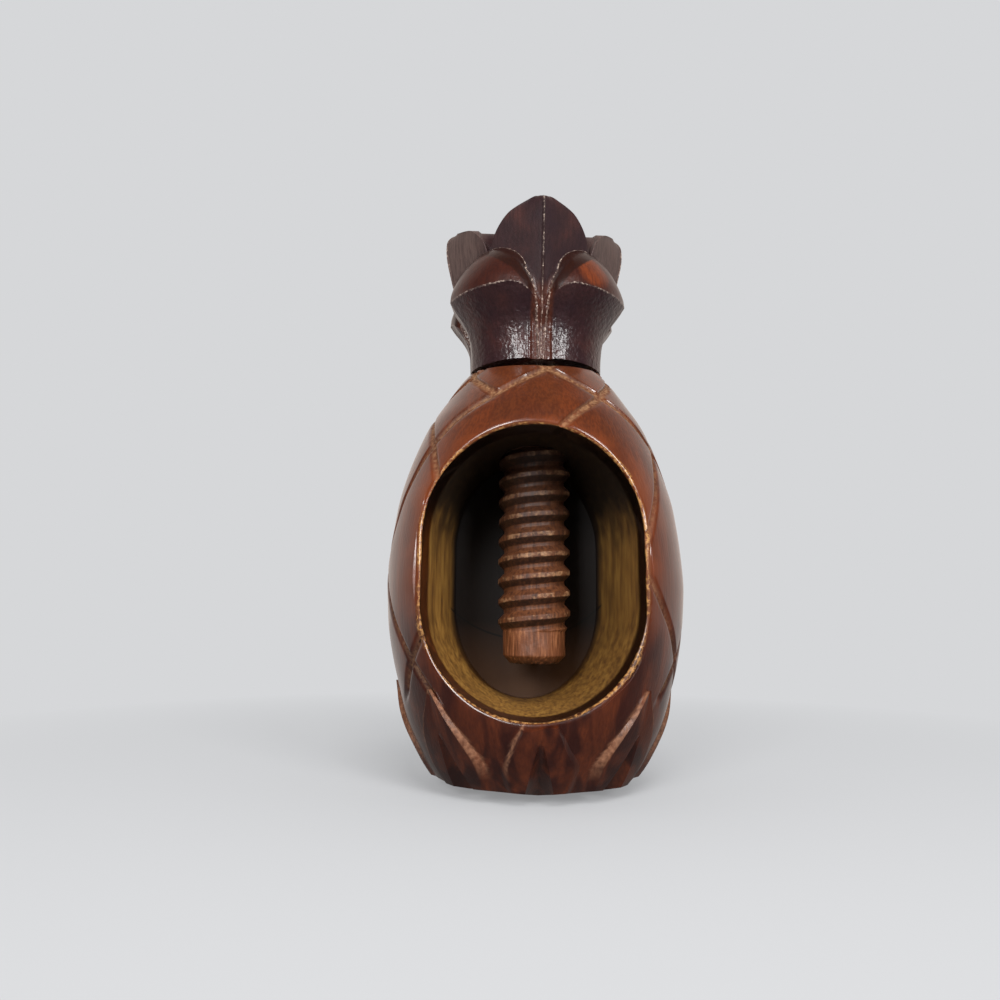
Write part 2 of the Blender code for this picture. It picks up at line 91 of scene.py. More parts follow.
def curve(points, at):
    """A smooth curve through (place, value) points.

    It is made of cubic pieces, whose slope at a point is that of the chord between its two neighbours.
    """
    place, value = np.array(points, float).T
    last = len(place) - 1
    before = np.maximum(np.arange(last + 1) - 1, 0)
    after = np.minimum(np.arange(last + 1) + 1, last)
    slope = (value[after] - value[before]) / (place[after] - place[before])
    at = np.clip(at, place[0], place[-1])
    i = np.clip(np.searchsorted(place, at, side="right") - 1, 0, last - 1)
    span = place[i + 1] - place[i]
    t = (at - place[i]) / span
    rest = 1 - t
    start = value[i] * rest * rest * (1 + 2 * t) + slope[i] * span * t * rest * rest
    return start + value[i + 1] * t * t * (3 - 2 * t) - slope[i + 1] * span * t * t * rest


def ease(low, high, at):
    """Rises smoothly from 0 at low to 1 at high: 3 t squared less 2 t cubed."""
    t = np.clip((at - low) / (high - low), 0, 1)
    return t * t * (3 - 2 * t)


def waver(a, b, seed):
    """A smooth unevenness, about -1 to 1, over two lengths in mm: the sum of five slanting sine waves."""
    total = 0
    for n in range(5):
        way = 2.4 * n + seed
        total = total + np.sin((math.cos(way) * a + math.sin(way) * b) * (0.11 + 0.07 * n) + 3.1 * n * seed)
    return total / 3.2


def round_axis(radius, angle, height):
    """Points in mm at an angle to the right of the front, seen from the front, which faces -Y."""
    return np.stack([radius * np.sin(angle), -radius * np.cos(angle), height + 0 * radius], -1)


def wrapped_faces(rows, columns, climb=0):
    """Quads between a grid's rows, closed round its columns.

    A full turn ends `climb` rows higher, as a thread does.
    """
    row, column = np.meshgrid(np.arange(rows - 1 - climb), np.arange(columns), indexing="ij")
    lap = (column + 1) // columns * climb
    beside = (column + 1) % columns
    here = row * columns + column
    there = (row + lap) * columns + beside
    return np.stack([here, there, there + columns, here + columns], -1).reshape(-1, 4)


def mend(mesh, close=True):
    """Merges points that coincide, closes what is open and turns every face outward."""
    shape = bmesh.new()
    shape.from_mesh(mesh)
    bmesh.ops.remove_doubles(shape, verts=shape.verts, dist=SAME_POINT * MM)
    if close:
        bmesh.ops.holes_fill(shape, edges=[edge for edge in shape.edges if edge.is_boundary])
    bmesh.ops.triangulate(shape, faces=[face for face in shape.faces if len(face.verts) > 4])
    bmesh.ops.recalc_face_normals(shape, faces=shape.faces)
    if shape.calc_volume(signed=True) < 0:
        bmesh.ops.reverse_faces(shape, faces=shape.faces)
    shape.to_mesh(mesh)
    shape.free()


def solid(name, points, faces, close=True):
    """An object whose mesh has these points, given in mm, and these faces."""
    mesh = bpy.data.meshes.new(name)
    mesh.from_pydata((points.reshape(-1, 3) * MM).tolist(), [], faces.tolist())
    mend(mesh, close)
    thing = bpy.data.objects.new(name, mesh)
    bpy.context.scene.collection.objects.link(thing)
    return thing


def saw(thing, point, away):
    """Cuts a closed mesh along a plane through a point in mm, drops the `away` side and closes the cut."""
    shape = bmesh.new()
    shape.from_mesh(thing.data)
    point = [value * MM for value in point]
    everything = [*shape.verts, *shape.edges, *shape.faces]
    bmesh.ops.bisect_plane(
        shape, geom=everything, dist=SAME_POINT * MM, plane_co=point, plane_no=away, clear_outer=True,
    )
    bmesh.ops.holes_fill(shape, edges=[edge for edge in shape.edges if edge.is_boundary])
    bmesh.ops.triangulate(shape, faces=[face for face in shape.faces if len(face.verts) > 4])
    shape.to_mesh(thing.data)
    shape.free()


def carve(thing, operation, tools):
    """Adds or cuts away other solids with a Boolean modifier, applied at once; the tools aren't kept."""
    for tool in tools:
        step = thing.modifiers.new("carve", "BOOLEAN")
        step.operation = operation
        step.solver = "EXACT"
        step.object = tool
    old = thing.data
    seen = thing.evaluated_get(bpy.context.evaluated_depsgraph_get())
    thing.data = bpy.data.meshes.new_from_object(seen)
    thing.modifiers.clear()
    bpy.data.meshes.remove(old)
    for tool in tools:
        bpy.data.objects.remove(tool)
    mend(thing.data, close=False)


def groove_half(down):
    """Half a groove's width in steps of the lattice.

    It is the width across the slanting line, set against the sides of one step of the lattice.
    """
    height = curve(GROOVE_ROWS, down)
    round_way = curve(BODY_OUTLINE, height) * math.pi / GROOVES
    up_way = curve(GROOVE_ROWS, down - 0.5) - curve(GROOVE_ROWS, down + 0.5)
    return np.minimum(0.42, GROOVE_WIDTH / 2 * np.hypot(round_way, up_way) / (round_way * up_way))


def groove_places(plus, minus):
    """How far each point is from the nearest groove of both families, as shares of half a groove's width."""
    half = groove_half((plus - minus) / 2)
    return ((plus + 1) % 2 - 1) / half, ((minus + 1) % 2 - 1) / half


def left_uncut(angle, height):
    """1 where the line from the left crossing down to the chamber's mouth was never cut, fading to 0."""
    return ease(*UNCUT_LEFT, angle) * (1 - ease(*UNCUT_RIGHT, angle)) * (1 - ease(*UNCUT_TOP, height))


def groove_cut(plus, minus):
    """Depth of the diamonds' grooves in mm: an uneven V cut by hand, its bottom nearer the upper wall."""
    across, other = groove_places(plus, minus)
    bend, floor = [-1.25, -1, -0.32, 0, 1, 1.3], [0, 0.06, 1, 0.93, 0.07, 0]
    down = (plus - minus) / 2
    height = curve(GROOVE_ROWS, down)
    cut_here = 1 - left_uncut(GROOVE_TURN + (plus + minus) / 2 * math.pi / GROOVES, height)
    deep = np.maximum(np.interp(across, bend, floor), np.interp(-other, bend, floor) * cut_here)
    way = (plus + minus) * 9
    shallow = 1 + 0.16 * waver(way * 3, height * 2, 1.0)
    fade = ease(0.80 * LEAF_HEIGHT, 1.0 * LEAF_HEIGHT, height)
    return GROOVE_DEPTH * deep * shallow * fade


def carved_skin():
    """The skin on a lattice whose lines follow both families of grooves and each groove's walls.

    One family's lines have the same sum of steps round and steps down, the other's the same difference.
    """
    inner = np.linspace(0, 1, 25)[1:-1]
    base = np.concatenate([[0, 0, 0, 0, 0], 2 * inner, [2, 2, 2, 2]])
    slope = np.concatenate([[0, 0.5, 1, 1.25, 1.6], 1.6 - 3.2 * inner, [-1.6, -1.25, -1, -0.32]])
    lines = len(base)
    i = np.arange(lines * GROOVES)[None, :]
    k = np.arange(int(-1.3 * lines), int(7.3 * lines))[:, None]
    j = i - k
    half = np.full((k.size, i.size), 0.1)
    for _ in range(3):
        plus = 2 * (i // lines) + base[i % lines] + slope[i % lines] * half
        minus = 2 * (j // lines) + base[j % lines] + slope[j % lines] * half
        half = groove_half((plus - minus) / 2)
    height = curve(GROOVE_ROWS, (plus - minus) / 2)
    angle = GROOVE_TURN + (plus + minus) / 2 * math.pi / GROOVES
    radius = curve(BODY_OUTLINE, height) - groove_cut(plus, minus)
    radius += 0.12 * waver(angle * 36, height, 2.0)
    columns = i.size
    row, column = np.meshgrid(np.arange(1, k.size - 1), np.arange(columns), indexing="ij")
    beside = (column + 1) % columns
    faces = np.stack([
        row * columns + column, (row + 1) * columns + beside,
        row * columns + beside, (row - 1) * columns + column,
    ], -1).reshape(-1, 4)
    return solid("body_skin", round_axis(radius, angle, height), faces)


def leaf_middle(number, height):
    """The angle of a leaf's middle: evenly spaced, and straight but for the two beside the front leaf."""
    lean = LEAF_LEAN * np.where(number == 1, -1, np.where(number == LEAVES - 1, 1, 0))
    return 2 * math.pi * number / LEAVES + lean * np.clip(1 - height / LEAF_HEIGHT, 0, 1)


def foot_leaf(number):
    """A pointed leaf on the foot: a closed ring of points round its section at each height.

    From its sides, which start below the skin, bevels rise to a top 1 mm proud of it, slightly hollow in the
    middle. The front leaf is narrower towards its tip.
    """
    height = np.concatenate([np.linspace(-2.5, 20, 46), np.linspace(20.6, 25, 10)])[:, None]
    across = np.concatenate([
        np.linspace(-1, -0.74, 5), np.linspace(-0.7, 0.7, 13), np.linspace(0.74, 1, 5),
    ])[None, :]
    half = np.radians(curve(LEAF_SIDES, height))
    if number == 0:
        half = half * (1 - 0.14 * ease(9, 14, height))
    proud = np.interp(np.abs(across), [0, 0.35, 0.74, 1], [0.80, 0.92, 1.05, -0.4])
    proud = proud * (1 - 0.35 * ease(17, 25, height)) + 0 * height
    under = np.linspace(1, -1, 7)[None, :]
    spread = np.concatenate([across + 0 * height, under + 0 * height], 1)
    rise = np.concatenate([proud, np.full((height.size, 7), -3.0)], 1)
    radius = curve(BODY_OUTLINE, height) + rise
    points = round_axis(radius, leaf_middle(number, height) + spread * half, height)
    return solid("foot_leaf", points, wrapped_faces(*spread.shape))


def foot_flute(number):
    """A V notch down a leaf's middle, deepest at the foot, its sides a little hollow."""
    height = np.linspace(-3, FLUTE_HEIGHT, 17)[:, None]
    deep = np.maximum(0.02, FLUTE_DEPTH * (1 - height / FLUTE_HEIGHT))
    out = np.array([[0, 0.10, 0.48, 1, 1, 1, 0.48, 0.10]])
    side = np.array([[0, 0.26, 0.62, 1, 0, -1, -0.62, -0.26]])
    top = curve(BODY_OUTLINE, height) + 1.1
    radius = top - deep + out * (deep + 3)
    angle = leaf_middle(number, height) + np.arcsin(side * FLUTE_SPREAD * (deep + 3) / radius)
    return solid("foot_flute", round_axis(radius, angle, height), wrapped_faces(17, 8))


CHAMBER_LOW, CHAMBER_HIGH = 44.3, 59.5
CHAMBER_RADIUS = 25.4
CHAMBER_SIDE = -1.6
CHAMBER_FLOOR = 15.3
CHAMBER_FLOOR_RADIUS = 20.6
RIM_ROUND = 1.3
NECK_LENGTH = 19.8
SCREW_RADIUS = 9.5
THREAD_PITCH = 5.2
THREAD_DEPTH = 1.6
THREAD_START = 1.7
THREAD_PLAY = 0.45
CROWN_GAP = 0.3


def chamber_outline(spread, turn):
    """Two half circles joined by straight sides, as x and z at each turn, with a radius of `spread`."""
    middle = np.where(np.sin(turn) >= 0, CHAMBER_HIGH, CHAMBER_LOW)
    return CHAMBER_SIDE + spread * np.cos(turn), middle + spread * np.sin(turn)


def chamber_away(x, z):
    """Distance outward from the chamber's outline at the skin, in mm; inside it is negative."""
    middle = np.clip(z, CHAMBER_LOW, CHAMBER_HIGH)
    return np.hypot(x - CHAMBER_SIDE, z - middle) - CHAMBER_RADIUS


def chamber_block():
    """What the two borings take away: the outline carried inward from the skin to the flat floor.

    At the skin it widens by a quarter round, so the rim comes out worn, more in some places than in others.
    Inside, it draws in from the mouth's radius to the floor's.
    """
    turn = np.concatenate([
        np.linspace(0, math.pi, 220, endpoint=False), np.linspace(math.pi, 2 * math.pi, 220, endpoint=False),
    ])[None, :]
    below = np.array([-1.3, -1.3, -0.5, 0.0, 0.06, 0.16, 0.32, 0.52, 0.76, 1.0])[:, None] * RIM_ROUND
    uneven = waver(turn * 26, 0 * turn, 3.0) + 0.5 * waver(turn * 75, 0 * turn, 5.0)
    worn = RIM_ROUND * (0.75 + 0.22 * uneven)
    quarter_round = 1 - np.sqrt(np.clip(1 - (1 - below / RIM_ROUND) ** 2, 0, 1))
    flare = worn * np.where(below < 0, 1.25 - below * 0.8, 1.25 * quarter_round)
    x, z = chamber_outline(CHAMBER_RADIUS + flare, turn)
    skin = curve(BODY_OUTLINE, z)
    y = -np.sqrt(np.maximum(skin**2 - x**2, 9.0)) + below
    y[0] = -BODY_RADIUS - 6
    depth = np.linspace(0, 1, 26)[1:, None]
    draw = CHAMBER_RADIUS + (CHAMBER_FLOOR_RADIUS - CHAMBER_RADIUS) * (depth**1.25 + 0.02 * np.sin(depth * 9))
    draw = draw - 0.9 * ease(0.97, 1.0, depth) + 0.10 * waver(turn * 24, depth * 60, 4.0)
    wall_x, wall_z = chamber_outline(draw, turn)
    drawn_in = CHAMBER_RADIUS - draw
    low_share, high_share = np.clip(-np.sin(turn), 0, 1), np.clip(np.sin(turn), 0, 1)
    wall_z = wall_z - low_share * drawn_in * 0.92 + high_share * drawn_in * 0.92
    wall_y = y[-1:] + (CHAMBER_FLOOR - y[-1:]) * depth
    points = np.concatenate([
        np.stack(np.broadcast_arrays(x, y, z), -1), np.stack(np.broadcast_arrays(wall_x, wall_y, wall_z), -1),
    ])
    return solid("chamber_block", points, wrapped_faces(*points.shape[:2]))


def thread_radius(phase, crest, root, crest_width=0.9):
    """A trapezoid thread's radius at a height within one pitch, counted from a crest's middle."""
    off = np.abs((phase + THREAD_PITCH / 2) % THREAD_PITCH - THREAD_PITCH / 2)
    flank = (THREAD_PITCH - 2 * crest_width) / 2
    return crest + (root - crest) * np.clip((off - crest_width / 2) / flank, 0, 1)


def threaded_rod(name, low, high, crest, columns, rows_a_pitch, shape=None):
    """A right-hand thread between two heights, whose radius a function may then shape.

    Its rows climb one pitch in a full turn, so a crest is a single row. Past both ends the rows lie in the
    end's plane and run in to the axis.
    """
    extra = 2.4 * THREAD_PITCH
    first = THREAD_START - BODY_HEIGHT - CROWN_GAP
    rows = int((high - low + 2 * extra) / THREAD_PITCH * rows_a_pitch)
    phase = (np.arange(rows) / rows_a_pitch * THREAD_PITCH)[:, None]
    turn = (np.arange(columns) / columns)[None, :]
    start = math.floor((low - extra + first) / THREAD_PITCH) * THREAD_PITCH - first
    height = start + phase + turn * THREAD_PITCH
    radius = thread_radius(phase + 0 * turn, crest, crest - THREAD_DEPTH)
    if shape:
        radius = shape(radius, turn * 2 * math.pi, height)
    past = np.maximum(height - high, low - height)
    radius = np.where(past > 0, np.maximum(0, radius - past * 1.6), radius)
    points = round_axis(radius, turn * 2 * math.pi, np.clip(height, low, high))
    return solid(name, points, wrapped_faces(rows, columns, rows_a_pitch))


body = carved_skin()
saw(body, (0, 0, -3), (0, 0, -1))
saw(body, (0, 0, BODY_HEIGHT), (0, 0, 1))
saw(body, (0, -TOP_FLAT, BODY_HEIGHT), (0, -math.sin(TOP_SLOPE), math.cos(TOP_SLOPE)))
carve(body, "UNION", [foot_leaf(number) for number in range(LEAVES)])
carve(body, "DIFFERENCE", [foot_flute(number) for number in range(LEAVES)])
saw(body, (0, 0, 0), (0, 0, -1))
# round its edge the foot is worn off at a slope, most of all between the leaves
for number in range(LEAVES):
    between = math.pi * (2 * number + 1) / LEAVES
    outward = (math.sin(between), math.cos(between))
    lean = math.sin(FOOT_SLOPE)
    down_and_out = (lean * outward[0], lean * outward[1], -math.cos(FOOT_SLOPE))
    saw(body, (FOOT_FLAT * outward[0], FOOT_FLAT * outward[1], 0), down_and_out)
neck_bore = threaded_rod(
    "neck_bore", BODY_HEIGHT - NECK_LENGTH - 3, BODY_HEIGHT + 3, SCREW_RADIUS + THREAD_PLAY, 72, 16,
)
carve(body, "DIFFERENCE", [chamber_block(), neck_bore])
body.name = "nutcracker_body"


def points_of(thing):
    """A mesh's points in mm, as rows of x, y and z."""
    flat = np.empty(len(thing.data.vertices) * 3, np.float32)
    thing.data.vertices.foreach_get("co", flat)
    return flat.reshape(-1, 3).astype(float) / MM


def note(thing, name, values):
    """Keeps one number for each point of a mesh, for its material to read."""
    thing.data.attributes.new(name, "FLOAT", "POINT").data.foreach_set("value", values.astype(np.float32))


x, y, z = points_of(body).T
angle = np.arctan2(x, -y)
skin = curve(BODY_OUTLINE, z)
steps = np.linspace(-1.9, 7.9, 2000)
down = np.interp(-z, -curve(GROOVE_ROWS, steps), steps)
turned = (angle - GROOVE_TURN) / (math.pi / GROOVES)
across, other = groove_places(turned + down, turned - down)
# how far a point is from a groove's middle, in half widths, where 3 is no groove
other = np.abs(other) + 3 * left_uncut(angle, z)
among_leaves = 3 * (1 - ease(0.8 * LEAF_HEIGHT, LEAF_HEIGHT, z))
note(body, "groove", np.clip(np.minimum(np.abs(across), other) + among_leaves, 0, 3))
# how far in from the skin a point of the chamber or the neck's bore is, and 0 on the skin
inward = y + np.sqrt(np.maximum(skin**2 - x**2, 0))
away = chamber_away(x, z)
in_chamber = (z < BODY_HEIGHT - NECK_LENGTH) & ((inward > 1.3) | (away < 0.2)) & (away < 2)
in_neck = np.hypot(x, y) < SCREW_RADIUS + 1.2
inside = (z > 12) & (z < BODY_HEIGHT - 0.05) & (y < CHAMBER_FLOOR + 0.2) & (in_chamber | in_neck)
note(body, "inward", np.where(inside, np.maximum(0, inward), 0))
# how far out a point is from the chamber's rim, where the rim is worn wider at the sides
beside_mouth = ease(12, 25, np.abs(x - CHAMBER_SIDE))
note(body, "rim", np.where(y < 0, away / (0.55 + 0.95 * beside_mouth), 30))
# a foot leaf's bevels, which take painted light, are the outer quarter of its half width, on the front leaf
# only a thin line on its lit left side
number = np.round(angle / (2 * math.pi / LEAVES)) % LEAVES
off_leaf = (angle - leaf_middle(number, z) + math.pi) % (2 * math.pi) - math.pi
share = np.abs(off_leaf) / np.radians(curve(LEAF_SIDES, z))
broad = ease(0.70, 0.76, share) * (1 - ease(0.96, 1.0, share))
thin = ease(0.70, 0.74, share) * (1 - ease(0.78, 0.84, share)) * (off_leaf < 0)
note(body, "bevel", (z < LEAF_HEIGHT) * np.where(number == 0, thin, broad))
# the worn seat under the crown and the tapped neck, where painted shade goes
note(body, "shaded_seat", np.where(z > BODY_HEIGHT - 2.6, ease(1.2, 1.8, skin - np.hypot(x, y)), 0))
body.data.shade_smooth()
body.data.set_sharp_from_angle(angle=math.radians(38))


def linear(hex_colour):
    """An sRGB hex colour as linear red, green, blue and 1."""
    parts = [int(hex_colour[i:i + 2], 16) / 255 for i in (1, 3, 5)]
    return (*[part / 12.92 if part <= 0.04045 else ((part + 0.055) / 1.055) ** 2.4 for part in parts], 1)


def add(tree, kind, *feeds, stops=(), **settings):
    """Adds a node with its settings and links.

    Feeds fill its inputs in order, settings are its properties or its inputs by name, and stops fill a
    colour ramp. A feed or an input's setting is a number, an sRGB hex colour, a socket, or a node, whose
    first output in use is taken.
    """
    node = tree.nodes.new("ShaderNode" + kind)
    for name in [name for name in settings if hasattr(node, name)]:
        setattr(node, name, settings.pop(name))
    inputs = [socket for socket in node.inputs if socket.enabled]
    named = {socket.name.replace(" ", "_"): socket for socket in inputs}
    fills = [*zip(inputs, feeds), *((named[name], value) for name, value in settings.items())]
    for socket, value in fills:
        if isinstance(value, bpy.types.Node):
            value = next(output for output in value.outputs if output.enabled)
        if isinstance(value, bpy.types.NodeSocket):
            tree.links.new(value, socket)
        else:
            socket.default_value = linear(value) if isinstance(value, str) else value
    for number, (place, colour) in enumerate(stops):
        stop = node.color_ramp.elements[number] if number < 2 else node.color_ramp.elements.new(place)
        stop.position = place
        stop.color = linear(colour)
    return node


def material(name):
    """A new material, its empty node tree, and the tree's output node."""
    made = bpy.data.materials.new(name)
    made.use_nodes = True
    made.node_tree.nodes.clear()
    return made, made.node_tree, made.node_tree.nodes.new("ShaderNodeOutputMaterial")


# Stained, varnished hardwood: a red-brown stain, painted darker at the foot and orange at the neck as shade and
# light from above, fibres that show through it, a thick gloss varnish with orange peel in it, wear that bares
# golden wood at the rim and in the grooves, painted light and glints on the grooves and the bevels, and painted
# shade under the crown and in the chamber. Real sizes in mm turn into a pattern's scale as 1000 over the size.
body_wood, tree, out = material("stained_varnished_hardwood")
place = add(tree, "TexCoord").outputs["Object"]
at = add(tree, "SeparateXYZ", place).outputs
groove, inward, rim, bevel, shaded_seat = (
    add(tree, "Attribute", attribute_name=name).outputs["Fac"]
    for name in ("groove", "inward", "rim", "bevel", "shaded_seat")
)
# fibres 0.55 mm apart and 14 mm long, figure of 5 by 40 mm, mottling over 9 mm, speckles of 0.9 mm
along_fibres = add(tree, "Mapping", place, Scale=(1000 / 0.55, 1000 / 0.55, 1000 / 14))
fibres = add(tree, "TexNoise", along_fibres, Scale=1, Detail=3)
along_figure = add(tree, "Mapping", place, Scale=(1000 / 5, 1000 / 5, 1000 / 40))
figure = add(tree, "TexNoise", along_figure, Scale=1, Detail=2, Distortion=0.6)
mottle = add(tree, "TexNoise", place, Scale=1000 / 9, Detail=3)
speckle = add(tree, "TexNoise", place, Scale=1000 / 0.9, Detail=2)
# the stain by height, from nearly black at the foot to orange at the neck: painted shade low down and painted
# light high up, as the light falls from above
painted_height_shade = add(tree, "MapRange", at["Z"], 0, BODY_HEIGHT * MM, -0.22, 0.78)
painted_height_shade = add(tree, "Math", mottle, 0.45, painted_height_shade, operation="MULTIPLY_ADD")
stops = [(0, "#260E0A"), (0.25, "#33130C"), (0.5, "#4C2010"), (0.78, "#532612"), (0.98, "#582B14")]
stain = add(tree, "ValToRGB", painted_height_shade, stops=stops)
light_figure = add(tree, "MapRange", figure, 0.42, 0.62, 0, 0.45)
stain = add(tree, "Mix", light_figure, stain, "#6E3214", data_type="RGBA")
dark_fibre = add(tree, "MapRange", fibres, 0.60, 0.40, 0, 0.38)
stain = add(tree, "Mix", dark_fibre, stain, "#2C100A", data_type="RGBA")
# the stain is rubbed thin and orange beside the chamber's mouth, over about 6 mm
thin = add(tree, "MapRange", rim, 0.4, 5.5, 0.58, 0, interpolation_type="SMOOTHSTEP")
above_foot = add(tree, "MapRange", at["Z"], 30 * MM, 55 * MM)
thin = add(tree, "Math", thin, above_foot, operation="MULTIPLY")
patchy = add(tree, "MapRange", mottle, 0.38, 0.58, 0.35, 1)
thin = add(tree, "Math", thin, patchy, operation="MULTIPLY")
stain = add(tree, "Mix", thin, stain, "#7A3A18", data_type="RGBA")
# the grooves' light cut wood, with painted glints in speckles, and painted light that makes them plainest near
# the neck
cut_wood = add(tree, "Math", groove, 0.45, operation="SUBTRACT")
cut_wood = add(tree, "Math", speckle, 0.9, cut_wood, operation="MULTIPLY_ADD")
cut_wood = add(tree, "MapRange", cut_wood, 0.99, 0.36, interpolation_type="SMOOTHSTEP")
cut_wood_and_glints = add(tree, "MapRange", speckle, 0.40, 0.65, 0.15, 1.0)
painted_light_near_neck = add(tree, "MapRange", at["Z"], 65 * MM, 94 * MM, 0.35, 0.78)
cut_wood_and_glints = add(tree, "Math", cut_wood_and_glints, painted_light_near_neck, operation="MULTIPLY")
cut_wood_and_glints = add(tree, "Math", cut_wood, cut_wood_and_glints, operation="MULTIPLY")
stain = add(tree, "Mix", cut_wood_and_glints, stain, "#96704E", data_type="RGBA")
# the bevels down a foot leaf's sides, painted pale as painted light where they face the lamp above, broken by
# speckled painted glints
above_edge = add(tree, "MapRange", at["Z"], 5.5 * MM, 11 * MM)
bevel = add(tree, "Math", bevel, above_edge, operation="MULTIPLY")
painted_highlight = add(tree, "MapRange", speckle, 0.30, 0.72, 0.18, 0.75)
painted_highlight = add(tree, "Math", bevel, painted_highlight, operation="MULTIPLY")
stain = add(tree, "Mix", painted_highlight, stain, "#9A6C50", data_type="RGBA")
# the chamber's rim, worn through to golden wood in a broken line
ragged = add(tree, "Math", rim, 1.9, operation="SUBTRACT")
ragged = add(tree, "Math", mottle, 2.2, ragged, operation="MULTIPLY_ADD")
ragged = add(tree, "Math", speckle, 1.6, ragged, operation="MULTIPLY_ADD")
worn = add(tree, "Math", ragged, 0.22, 0.42, operation="COMPARE")
broken = add(tree, "MapRange", speckle, 0.44, 0.58, 0.10, 1.0)
worn = add(tree, "Math", worn, broken, operation="MULTIPLY")
stain = add(tree, "Mix", worn, stain, "#AC7D48", data_type="RGBA")
# painted shade: the worn seat under the crown is painted nearly black, as the gap under the crown lies in
# shadow
stain = add(tree, "Mix", shaded_seat, stain, "#0D0605", data_type="RGBA")
# the bored wall's golden wood, its grain 0.9 by 3 by 11 mm, dirty in patches, with painted shade on the right
# and up at the roof
along_wall = add(tree, "Mapping", place, Scale=(1000 / 0.9, 1000 / 3, 1000 / 11))
wall_grain = add(tree, "TexNoise", along_wall, Scale=1, Detail=3)
raw = add(tree, "ValToRGB", wall_grain, stops=[(0.30, "#6A4720"), (0.50, "#93692F"), (0.70, "#AE823E")])
dirty = add(tree, "MapRange", mottle, 0.48, 0.66, 0, 0.45)
raw = add(tree, "Mix", dirty, raw, "#6B4A20", data_type="RGBA")
# painted shade: the wall is darker on the right
right_wall_shade = add(tree, "MapRange", at["X"], -5 * MM, 15 * MM, 0, 0.30)
raw = add(tree, "Mix", right_wall_shade, raw, "#4A3216", data_type="RGBA")
# painted shade: the upper wall darkens to nearly black towards the roof, which shades it
roof_shade = add(tree, "Math", mottle, 12 * MM, at["Z"], operation="MULTIPLY_ADD")
roof_shade = add(tree, "MapRange", roof_shade, 62 * MM, 78 * MM, 0, 0.93, interpolation_type="SMOOTHSTEP")
raw = add(tree, "Mix", roof_shade, raw, "#0E0805", data_type="RGBA")
# the floor: painted shade makes it dark, and painted light a little lighter low down, with the boring bit's
# scored ring on it
ground = add(tree, "MapRange", at["Z"], 22 * MM, 40 * MM)
ground = add(tree, "Mix", ground, "#4D321C", "#110704", data_type="RGBA")
ring_middle = (-2.2 * MM, CHAMBER_FLOOR * MM, 64.6 * MM)
ring = add(tree, "VectorMath", place, ring_middle, operation="DISTANCE").outputs["Value"]
ring = add(tree, "Math", ring, 29.4 * MM, 0.25 * MM, operation="COMPARE")
on_floor = add(tree, "MapRange", at["Y"], (CHAMBER_FLOOR - 3.5) * MM, (CHAMBER_FLOOR - 0.4) * MM)
raw = add(tree, "Mix", on_floor, raw, ground, data_type="RGBA")
ring = add(tree, "Math", ring, on_floor, operation="MULTIPLY")
raw = add(tree, "Mix", ring, raw, "#060302", data_type="RGBA")
# over the bare wood, inside the rim: first a dark line, then a band of red-brown varnish, wider on the left
depth = add(tree, "Math", inward, 1.5, operation="SUBTRACT")
depth = add(tree, "Math", mottle, 3.0, depth, operation="MULTIPLY_ADD")
band_end = add(tree, "Math", at["X"], 60, depth, operation="MULTIPLY_ADD")
bare = add(tree, "MapRange", band_end, 7.5, 11, interpolation_type="SMOOTHSTEP")
# painted shade: the band is darker towards the right, as the wall on the right is
band = add(tree, "MapRange", at["X"], -20 * MM, 10 * MM)
band = add(tree, "Mix", band, "#6A3814", "#2C180A", data_type="RGBA")
streaks = add(tree, "MapRange", wall_grain, 0.40, 0.60, 0.5, 0)
band = add(tree, "Mix", streaks, band, "#2A1208", data_type="RGBA")
band = add(tree, "Mix", roof_shade, band, "#0E0805", data_type="RGBA")
past_line = add(tree, "MapRange", depth, 1.0, 2.6)
band = add(tree, "Mix", past_line, "#1A0A05", band, data_type="RGBA")
wall = add(tree, "Mix", bare, band, raw, data_type="RGBA")
inside = add(tree, "MapRange", depth, 0.8, 1.2)
colour = add(tree, "Mix", inside, stain, wall, data_type="RGBA")
# orange peel 1.5 mm wide in the varnish, pores under it, the bit's marks on the bare wood
peel = add(tree, "TexNoise", place, Scale=1000 / 1.5, Detail=3)
peel = add(tree, "Bump", 0.20, 0.12 * MM, Height=peel)
marks = add(tree, "Mix", bare, fibres, wall_grain, data_type="FLOAT")
pores = add(tree, "Bump", 0.35, 0.14 * MM, Height=marks, Normal=peel)
# the grooves and the bare wall are dry: rougher, and without the varnish's gloss
dry = add(tree, "Math", cut_wood, 0.8, operation="MULTIPLY")
dry = add(tree, "Math", dry, bare, operation="MAXIMUM")
surface = add(
    tree, "BsdfPrincipled", colour, Normal=pores, Coat_Normal=peel,
    IOR=1.45, Coat_IOR=1.5, Coat_Roughness=0.12,
    Roughness=add(tree, "MapRange", dry, 0, 1, 0.34, 0.66),
    Coat_Weight=add(tree, "MapRange", dry, 0, 0.6, 0.85, 0),
)
tree.links.new(surface.outputs[0], out.inputs["Surface"])
body.data.materials.clear()
body.data.materials.append(body_wood)
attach(body, "body")
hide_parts("body")

# Screw: a dowel of the same wood, its thread cut by hand with a V tool and left bare. Its nose is turned
# plain to pass the neck, and years of nuts have frayed it. It is glued into the crown.

SCREW_LOW = 29.5
NOSE_TOP = 37.5
NOSE_RADIUS = 8.15
NOSE_CHAMFER = 2.0
# The threaded part's radius is this much less than the screw's named one
CREST_WEAR = 0.03


